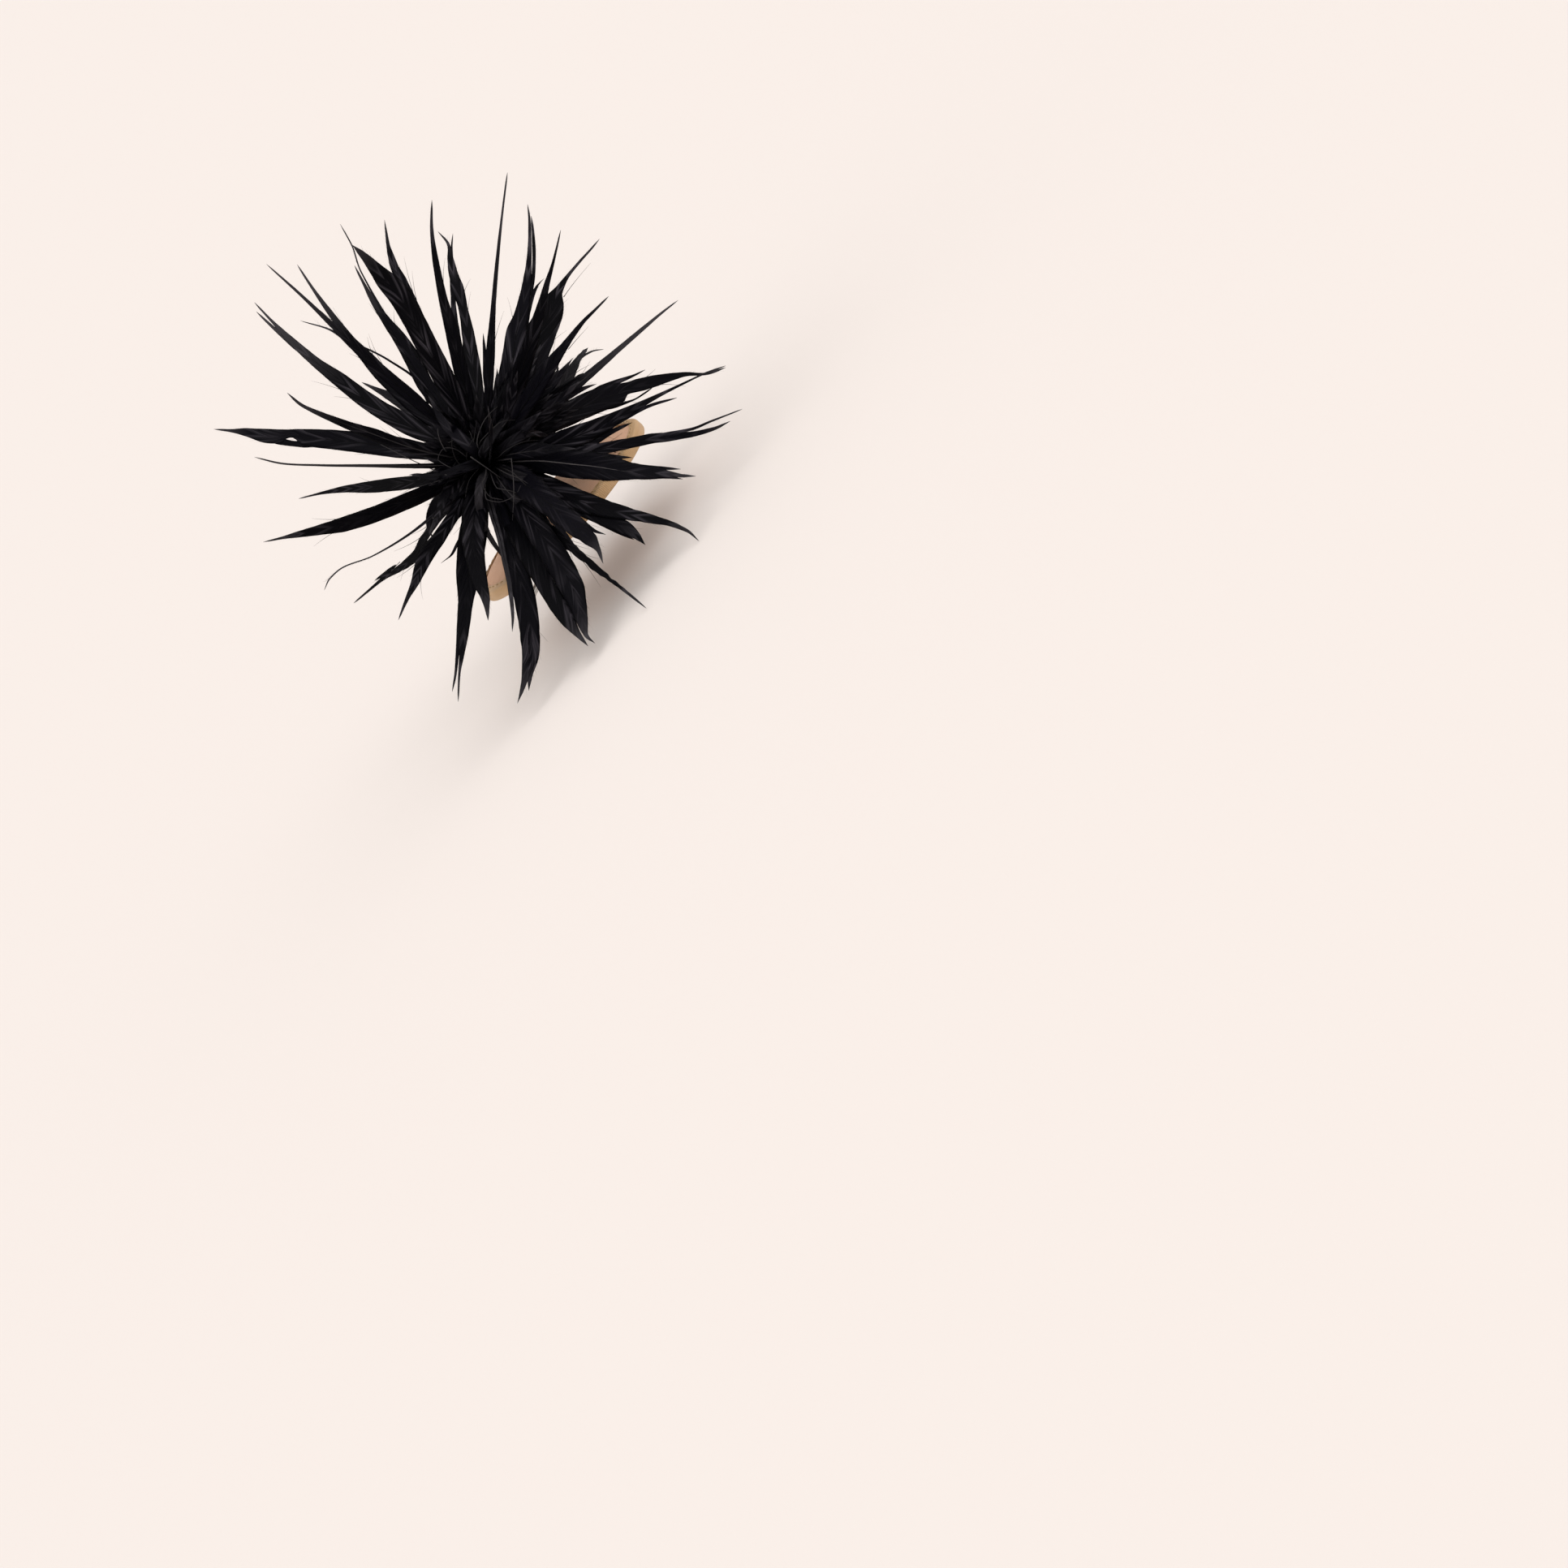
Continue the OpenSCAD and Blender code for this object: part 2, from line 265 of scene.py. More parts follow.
def cloth_material(name, low, high, threads, fleck=0.0):
    """Plain weave: warp and weft threads with uneven tone, painted shade in the gaps between
    threads, and a few slubs.
    """
    n = Nodes(name)
    uv = n.uv()
    warp = n.wave(uv, threads, "X", 0.35, 3.0)
    weft = n.wave(uv, threads, "Y", 0.35, 3.0)
    weave = n.math("MULTIPLY", warp, weft)
    tone = n.noise(uv, 0.16, 4.0)
    slubs = n.noise(n.scaled(uv, (0.25, 2.4, 1.0)), 1.0, 2.0)
    colour = n.mix(n.ramp(tone, 0.0, 1.0), low, high)
    # painted shade: the gaps between the threads are darkened towards a darker copy of the cloth's
    # colour
    gap_shaded_colour = n.mix(n.ramp(weave, 0.35, 0.0, 0.0, 0.5), colour,
                   rgb(*(0.62 * c for c in low[:3])))
    n.set(
        Base_Color=n.mix(n.ramp(slubs, 0.0, fleck, 0.62, 0.8), gap_shaded_colour, rgb(0.72, 0.60, 0.50)),
        Roughness=n.ramp(weave, 0.92, 0.72, 0.0, 0.6),
        IOR=1.4,
        Sheen_Weight=0.12,
        Sheen_Roughness=0.5,
        Normal=n.bump(weave, 0.00012, 0.7, n.bump(slubs, 0.0001, 0.4)),
    )
    return n.material


def ribbon_material():
    """Grosgrain ribbon: fine ribs across its width with painted shade in the grooves between them,
    a slight gloss and worn, paler folds.
    """
    n = Nodes("ribbon")
    uv = n.uv()
    ribs = n.wave(uv, 0.62, "X", 0.25, 2.0)
    tone = n.noise(n.scaled(uv, (0.08, 0.3, 1.0)), 1.0, 3.0)
    warp = n.noise(n.scaled(uv, (0.6, 6.0, 1.0)), 1.0, 2.0)
    colour = n.mix(n.ramp(tone, 0.0, 1.0), rgb(0.52, 0.315, 0.135),
                   rgb(0.67, 0.44, 0.235))
    n.set(
        # painted shade: the grooves between the ribs are darkened in the base colour
        Base_Color=n.mix(n.ramp(ribs, 0.45, 0.0, 0.0, 0.4), colour, rgb(0.33, 0.19, 0.08)),
        Roughness=n.ramp(n.math("ADD", ribs, warp), 0.62, 0.42, 0.4, 1.3),
        IOR=1.42,
        Sheen_Weight=0.1,
        Sheen_Roughness=0.4,
        Normal=n.bump(ribs, 0.00014, 0.8, n.bump(warp, 0.00006, 0.4)),
    )
    return n.material


def felt_material():
    """Matted wool felt with loose fibres and pressed patches."""
    n = Nodes("felt")
    place = n.object_space()
    fibres = n.noise(place, 1400.0, 5.0, 0.7)
    patches = n.noise(place, 160.0, 3.0)
    n.set(
        Base_Color=n.mix(n.math("MULTIPLY", fibres, patches), rgb(0.006, 0.006, 0.008),
                         rgb(0.055, 0.053, 0.06)),
        Roughness=n.ramp(fibres, 0.85, 1.0),
        IOR=1.3,
        Sheen_Weight=0.25,
        Sheen_Roughness=0.6,
        Normal=n.bump(fibres, 0.0002, 0.9, n.bump(patches, 0.0004, 0.5)),
    )
    return n.material


def metal_material(name, low, high, rough, grain):
    """Plated steel: brushed along `grain`, with finger smears and small pits."""
    n = Nodes(name)
    place = n.object_space()
    brush = n.noise(n.scaled(place, grain), 1.0, 3.0, 0.6)
    smears = n.noise(place, 230.0, 3.0)
    pits = n.noise(place, 1700.0, 2.0)
    n.set(
        Base_Color=n.mix(n.ramp(brush, 0.0, 1.0), low, high),
        Metallic=1.0,
        Roughness=n.math("ADD", n.ramp(brush, 0.0, 0.16),
                         n.ramp(smears, rough, rough + 0.07, 0.3, 0.75)),
        Normal=n.bump(brush, 0.00002, 0.5, n.bump(n.ramp(pits, 0.0, 1.0, 0.6, 0.75), 0.00002, 0.4)),
    )
    return n.material


def tape_material():
    """Crepe stem tape: black, waxy, finely wrinkled along its length."""
    n = Nodes("stem_tape")
    uv = n.uv()
    crepe = n.noise(n.scaled(uv, (5.0, 0.8, 1.0)), 1.0, 3.0)
    n.set(
        Base_Color=n.mix(crepe, rgb(0.003, 0.003, 0.004), rgb(0.016, 0.015, 0.018)),
        Roughness=n.ramp(crepe, 0.5, 0.75),
        IOR=1.3,
        Normal=n.bump(crepe, 0.0001, 0.7),
    )
    return n.material


VANE = vane_material()
SHAFT = shaft_material()
BLACK_THREAD = thread_material("black_thread", rgb(0.0025, 0.0025, 0.004), rgb(0.022, 0.021, 0.03))
TAN_THREAD = thread_material("tan_thread", rgb(0.30, 0.18, 0.08), rgb(0.72, 0.52, 0.33))
COVER = cloth_material("nude_fabric", rgb(0.70, 0.40, 0.25), rgb(0.80, 0.49, 0.32), 1.1, 0.3)
LINING = cloth_material("lining", rgb(0.50, 0.345, 0.25), rgb(0.60, 0.43, 0.33), 1.5, 0.2)
BUCKRAM = cloth_material("buckram", rgb(0.62, 0.50, 0.38), rgb(0.74, 0.62, 0.50), 0.6, 0.5)
RIBBON = ribbon_material()
FELT = felt_material()
TAPE = tape_material()
WIRE = metal_material("wire", rgb(0.10, 0.10, 0.10), rgb(0.24, 0.235, 0.23), 0.35,
                      (2600, 2600, 120))
NICKEL = metal_material("clip_steel", rgb(0.50, 0.49, 0.47), rgb(0.66, 0.65, 0.63), 0.18,
                        (120, 2600, 2600))
SPRING = metal_material("spring_steel", rgb(0.36, 0.35, 0.34), rgb(0.55, 0.54, 0.52), 0.22,
                        (900, 900, 900))


# ---------------------------------------------------------------- mesh building

class Builder:
    """Collects closed tubes and sheets into one mesh with lay coordinates and tints."""

    def __init__(self):
        self.points, self.faces, self.slots = [], [], []
        self.uvs, self.tints = [], {"tone": [], "thin": [], "pale": []}
        self.count = 0

    def tube(self, rings, uv, slot=0, loop=False, **tints):
        """Quads through rings[i][k]; a tube is closed by its end rings, or onto itself."""
        rings = np.asarray(rings, float)
        steps, sides = rings.shape[:2]
        grid = self.count + np.arange(steps * sides).reshape(steps, sides)
        self.points.append(rings.reshape(-1, 3))
        self.count += steps * sides
        self.uvs.append(np.asarray(uv, float).reshape(-1, 2))
        for key, store in self.tints.items():
            value = np.asarray(tints.get(key, 0.0), float)
            if value.ndim == 1:
                value = value[:, None]
            store.append(np.broadcast_to(value, (steps, sides)).ravel())
        if loop:
            grid = np.concatenate([grid, grid[:1]])
        near, far = grid[:-1], grid[1:]
        quads = np.stack([near, np.roll(near, -1, 1), np.roll(far, -1, 1), far], axis=-1)
        self.faces += quads.reshape(-1, 4).tolist()
        added = quads.shape[0] * quads.shape[1]
        if not loop:
            self.faces += [grid[0][::-1].tolist(), grid[-1].tolist()]
            added += 2
        self.slots += [slot] * added

    def object(self, name, materials, body=BODY):
        mesh = bpy.data.meshes.new(name)
        mesh.from_pydata(np.concatenate(self.points).tolist(), [], self.faces)
        for m in materials:
            mesh.materials.append(m)
        mesh.polygons.foreach_set("material_index", self.slots)
        mesh.polygons.foreach_set("use_smooth", [True] * len(self.faces))
        corners = np.empty(len(mesh.loops), int)
        mesh.loops.foreach_get("vertex_index", corners)
        layer = mesh.uv_layers.new(name="lay")
        layer.data.foreach_set("uv", np.concatenate(self.uvs)[corners].ravel())
        for key, store in self.tints.items():
            attribute = mesh.attributes.new(key, "FLOAT", "POINT")
            attribute.data.foreach_set("value", np.concatenate(store))
        mesh.validate()
        obj = bpy.data.objects.new(name, mesh)
        bpy.context.scene.collection.objects.link(obj)
        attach(obj, body)
        return obj


def unit(v):
    return v / np.linalg.norm(v, axis=-1, keepdims=True)


def smoothstep(x):
    x = np.clip(x, 0, 1)
    return x * x * (3 - 2 * x)


def curve_through(x, xs, ys):
    """A smooth curve through the points (xs, ys) that doesn't overshoot them."""
    xs, ys = np.asarray(xs, float), np.asarray(ys, float)
    slope = np.diff(ys) / np.diff(xs)
    a, b = slope[:-1], slope[1:]
    same = a * b > 0
    inner = np.where(same, 2 * a * b / np.where(same, a + b, 1), 0)
    m = np.concatenate([slope[:1], inner, slope[-1:]])
    i = np.clip(np.searchsorted(xs, x) - 1, 0, len(xs) - 2)
    h = xs[i + 1] - xs[i]
    q = (x - xs[i]) / h
    return ((1 + 2 * q) * (1 - q) ** 2 * ys[i] + q * (1 - q) ** 2 * h * m[i]
            + q * q * (3 - 2 * q) * ys[i + 1] + q * q * (q - 1) * h * m[i + 1])


def sweep(build, path, radius, sides=6, slot=0, loop=False, **tints):
    """A round thread, wire or hair along a path of points."""
    path = np.asarray(path, float)
    if loop:
        tangent = unit(np.roll(path, -1, 0) - np.roll(path, 1, 0))
    else:
        tangent = unit(np.gradient(path, axis=0))
    across = np.zeros_like(path)
    guess = np.array([0.31, 0.17, 0.93])
    for i, t in enumerate(tangent):
        guess = guess - t * (guess @ t)
        guess = guess / np.linalg.norm(guess)
        across[i] = guess
    other = np.cross(tangent, across)
    s = np.concatenate([[0], np.cumsum(np.linalg.norm(np.diff(path, axis=0), axis=1))]) / MM
    turn = np.arange(sides) / sides * TURN
    radius = np.broadcast_to(radius, (len(path),))[:, None]
    rings = (path[:, None, :] + across[:, None, :] * (radius * np.cos(turn))[..., None]
             + other[:, None, :] * (radius * np.sin(turn))[..., None])
    uv = np.stack(np.broadcast_arrays(s[:, None], turn * radius / MM), axis=-1)
    build.tube(rings, uv, slot, loop=loop, **tints)


# ---------------------------------------------------------------- feathers

def clockwise(direction):
    """The side of a feather that lies clockwise of it for someone at the camera."""
    right, up = np.array(RIGHT), np.array(IMAGE_UP)
    return right * (direction @ up) - up * (direction @ right)


class Blade:
    """A feather's centreline, and the directions of its flat side and its face."""

    def __init__(self, centres, wide, degree=4):
        steps = np.linalg.norm(np.diff(centres, axis=0), axis=1)
        s = np.concatenate([[0.0], np.cumsum(steps)])
        self.length = s[-1]
        self.fit = [np.polyfit(s, centres[:, k], degree) for k in range(3)]
        self.wide_fit = [np.polyfit(s, wide[:, k], 2) for k in range(3)]

    @classmethod
    def of_node(cls, node):
        """Measured from the CAD feather: sections of four corners, in order from the hub."""
        co = np.array([v.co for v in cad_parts[node].data.vertices])
        points = np.unique(np.round(co, 6), axis=0)
        outwards = np.argsort(np.linalg.norm(points - HUB, axis=1))
        rings = points[outwards].reshape(-1, 4, 3)
        centres = rings.mean(axis=1)
        rel = rings - centres[:, None, :]
        reach = np.linalg.norm(rel, axis=2)
        middle = int(np.argmax(reach.max(axis=1)))
        start = unit(rel[middle, int(np.argmax(reach[middle]))])
        along = unit(centres[middle + 1] - centres[middle - 1])
        start = start if start @ clockwise(along) > 0 else -start
        wide = np.zeros_like(centres)
        for order in (range(middle, -1, -1), range(middle, len(centres))):
            last = start
            for i in order:
                last = wide[i] = unit(rel[i])[int(np.argmax(unit(rel[i]) @ last))]
        return cls(centres, wide)

    @classmethod
    def curling(cls, direction, length, bend, start):
        """A short plume from the hub that bends as it goes."""
        direction = unit(np.asarray(direction, float))
        bend = np.asarray(bend, float)
        q = np.linspace(0, 1, 9)[:, None]
        centres = HUB + direction * (start + length * q) + bend * length * q ** 2
        tangent = unit(direction + 2 * bend * q)
        side = clockwise(direction)
        if np.linalg.norm(side) < 0.4:
            side = np.cross(direction, [0.3, 0.2, 0.9])
        wide = unit(side - tangent * np.sum(side * tangent, axis=1, keepdims=True))
        return cls(centres, wide)

    def place(self, s, v, z):
        """Points at s along the feather, v across it and z off its face."""
        centre = np.stack([np.polyval(f, s) for f in self.fit], axis=-1)
        tangent = unit(np.stack([np.polyval(np.polyder(f), s) for f in self.fit], axis=-1))
        inside = np.clip(s, 0, self.length)
        wide = np.stack([np.polyval(f, inside) for f in self.wide_fit], axis=-1)
        wide = unit(wide - tangent * np.sum(wide * tangent, axis=-1, keepdims=True))
        return centre + wide * v[..., None] + np.cross(tangent, wide) * z[..., None]


BARB_ANGLE = math.radians(12)        # between a feather's shaft and its barbs
EDGE_EXTRA = 0.1                     # every strip's edges lie this far outside its numbers, mm
HALF_VANE = 2.5 * MM                 # half the width of an ordinary feather
BARB_THICK = 0.012 * MM              # half the thickness of a blade's edge
BARB_R = 0.09 * MM                   # radius of a loose barb at its root
SHAFT_ROOT = 2.2 * MM                # how far a quill goes on into the binding
RIPPLES = 9.0                        # a blade's ripples along its length, in radians
TIP_RUN = 2.4 * MM                   # the end over which a strip comes to a point
ROOT_RUN = 3.5 * MM                  # the same where a strip parts from the one below it


def fullness(t, full):
    """How much wider the vane is near its root, where it is downy, than the strips say."""
    return 1 + full * smoothstep((0.62 - t) / 0.3) * smoothstep(t / 0.15)


class Leaf:
    """One flat strip of a feather between a left and a right edge."""

    def __init__(self, blade, outline, scale=1.0, full=0.5):
        outline = list(outline)
        if outline[0][0] <= 0.12:
            outline.insert(0, (0.0, -0.7, 0.7))
        share, left, right = np.array(outline, float).T
        scale = scale * fullness(share, full)
        self.blade, self.share = blade, share
        self.left = (left * scale - EDGE_EXTRA) * MM
        self.right = (right * scale + EDGE_EXTRA) * MM
        self.start, self.end = share[0], share[-1]

    def edges(self, t):
        return curve_through(t, self.share, self.left), curve_through(t, self.share, self.right)

    def spine(self, t, place):
        left, right = self.edges(t)
        return left + (right - left) * place


def face_height(t, off, form):
    """How far a feather's surface stands off its flat, at `off` from its shaft."""
    ripple = form["ripple"] * np.sin(t * RIPPLES + form["phase"]) * off / HALF_VANE
    return -form["cup"] * np.abs(off) / HALF_VANE * smoothstep(t * 6) + ripple


def add_leaf(build, leaf, form, rng, layer):
    """The leaf as a closed thin sheet with slightly ragged edges."""
    blade = leaf.blade
    span = (leaf.end - leaf.start) * blade.length
    steps = max(14, int(span / (0.85 * MM)))
    t = np.linspace(leaf.start, leaf.end, steps)
    left, right = leaf.edges(t)
    room = smoothstep((right - left) / TIP_RUN)
    rag = np.array([[abs(rng.gauss(0, 1)) for _ in t] for _ in range(2)])
    rag = (rag[:, :-2] + 2 * rag[:, 1:-1] + rag[:, 2:]) / 4
    rag = np.pad(rag, ((0, 0), (1, 1))) * form["jag"] * MM
    left, right = left + rag[0] * room, right - rag[1] * room
    point = np.sqrt(np.clip((leaf.end - t) * blade.length / TIP_RUN, 0.02, 1))
    if leaf.start > 0:
        point *= np.sqrt(np.clip((t - leaf.start) * blade.length / ROOT_RUN, 0.02, 1))
    half = np.maximum((right - left) / 2, 0.09 * MM) * point
    middle = (left + right) / 2
    a = np.array([-1, -0.66, -0.33, 0, 0.33, 0.66, 1])
    thick = np.minimum(half, 0.3 * MM)[:, None] * 0.22 * np.sqrt(1 - a ** 2) + BARB_THICK
    v = middle[:, None] + half[:, None] * a
    s = np.broadcast_to((t * blade.length)[:, None], v.shape)
    spine = leaf.spine(t, form["spine"])[:, None]
    off = v - spine
    z = face_height(t[:, None], off, form) + layer * 0.05 * MM
    top = blade.place(s, v, z + thick)
    low = blade.place(s, v, z - thick)
    rings = np.concatenate([top, low[:, -2:0:-1]], axis=1)
    along, across = s / MM, np.abs(off) / MM
    shift = rng.uniform(0, 40)
    uv = np.stack([along * math.cos(BARB_ANGLE) + across * math.sin(BARB_ANGLE),
                   across * math.cos(BARB_ANGLE) - along * math.sin(BARB_ANGLE) + shift], axis=-1)
    uv = np.concatenate([uv, uv[:, -2:0:-1]], axis=1)
    thin = np.clip((t - 1 + form["sheer"]) / form["sheer"], 0, 1) * form["grey"]
    thin = np.maximum(thin, form["veil"])
    build.tube(rings, uv, tone=rng.uniform(0.2, 1), thin=thin)


def clears_base(path, gap=1.0 * MM):
    """Whether a path stays at least `gap` above the dome, or outside the ribbon edge."""
    flat = np.hypot(path[..., 0], path[..., 1])
    dome = cap_height(COVER_CAP, np.minimum(flat, BASE_R))
    over = (flat < BASE_R + 0.6 * MM) & (path[..., 2] < dome + gap)
    return not over.any()


def add_barb(build, blade, t0, run, v0, v1, lift, form, rng):
    """One loose barb: a hair that leaves the leaf at t0 and ends `run` further on."""
    q = np.linspace(0, 1, 8)
    t = t0 + run / blade.length * q
    v = v0 + (v1 - v0) * q ** 1.5
    path = blade.place(t * blade.length, v, lift * q ** 2)
    if not clears_base(path):
        return
    sweep(build, path, BARB_R * (1 - 0.85 * q), 4, thin=0.25 * form["grey"] * q,
          tone=rng.uniform(0, 1))


def add_fringe(build, leaf, form, rng):
    """Short barb ends along both edges, where the feather was trimmed."""
    blade = leaf.blade
    t = max(leaf.start, 0.1)
    while t < leaf.end - 0.05:
        left, right = (edge[0] for edge in leaf.edges(np.array([t])))
        room = min(1, (right - left) / (2 * MM))
        for edge, sign in ((left, -1), (right, 1)):
            out = rng.gauss(0, 0.16) * room * MM
            add_tooth(build, blade, t, edge, edge + sign * out, sign, form, rng)
        t += rng.uniform(0.012, 0.028)


def add_tooth(build, blade, t, root, tip, sign, form, rng):
    """A barb's end: a flat needle that stands a little out of the edge."""
    s0, s1 = t * blade.length, t * blade.length + rng.uniform(1.6, 3.4) * MM
    wide = 0.12 * MM
    s = np.array([[s0, s0 + wide * 2, s0 + wide], [s1, s1 + wide * 0.1, s1 + wide * 0.05]])
    inner = root - sign * 0.35 * MM
    v = np.array([[inner, inner, inner], [tip, tip, tip]])
    z = np.array([[0.0, 0.0, 0.05 * MM], [0.0, 0.0, 0.01 * MM]])
    build.tube(blade.place(s, v, z), np.stack([s / MM, v / MM], axis=-1), tone=0.6)


def add_strays(build, leaf, form, rng):
    """Single barbs that have come away from the edges."""
    blade = leaf.blade
    for _ in range(form["strays"]):
        sign = rng.choice((-1, 1))
        t0 = rng.uniform(0.2, 0.72)
        edge = leaf.edges(np.array([t0]))[0 if sign < 0 else 1][0]
        out = rng.uniform(0.6, 2.4) * MM
        add_barb(build, blade, t0, rng.uniform(6, 13) * MM, edge * 0.5, edge + sign * out,
                 rng.gauss(0, 1.0) * MM, form, rng)


def add_shaft(build, leaf, form):
    """The quill, thick at its root in the binding and hair-thin at the tip."""
    blade = leaf.blade
    q = np.linspace(0, 1, 30)
    s = -SHAFT_ROOT + (leaf.end * blade.length * 0.97 + SHAFT_ROOT) * q
    t = np.clip(s / blade.length, leaf.start, leaf.end)
    v = leaf.spine(t, form["spine"]) * smoothstep(s / (9 * MM))
    path = blade.place(s, v, 0 * s)
    radius = ((form["quill"] - 0.05) * (1 - q) ** 1.2 + 0.045) * MM
    sweep(build, path, radius, 7, slot=1, pale=form["pale"] * (1 - 0.4 * q))


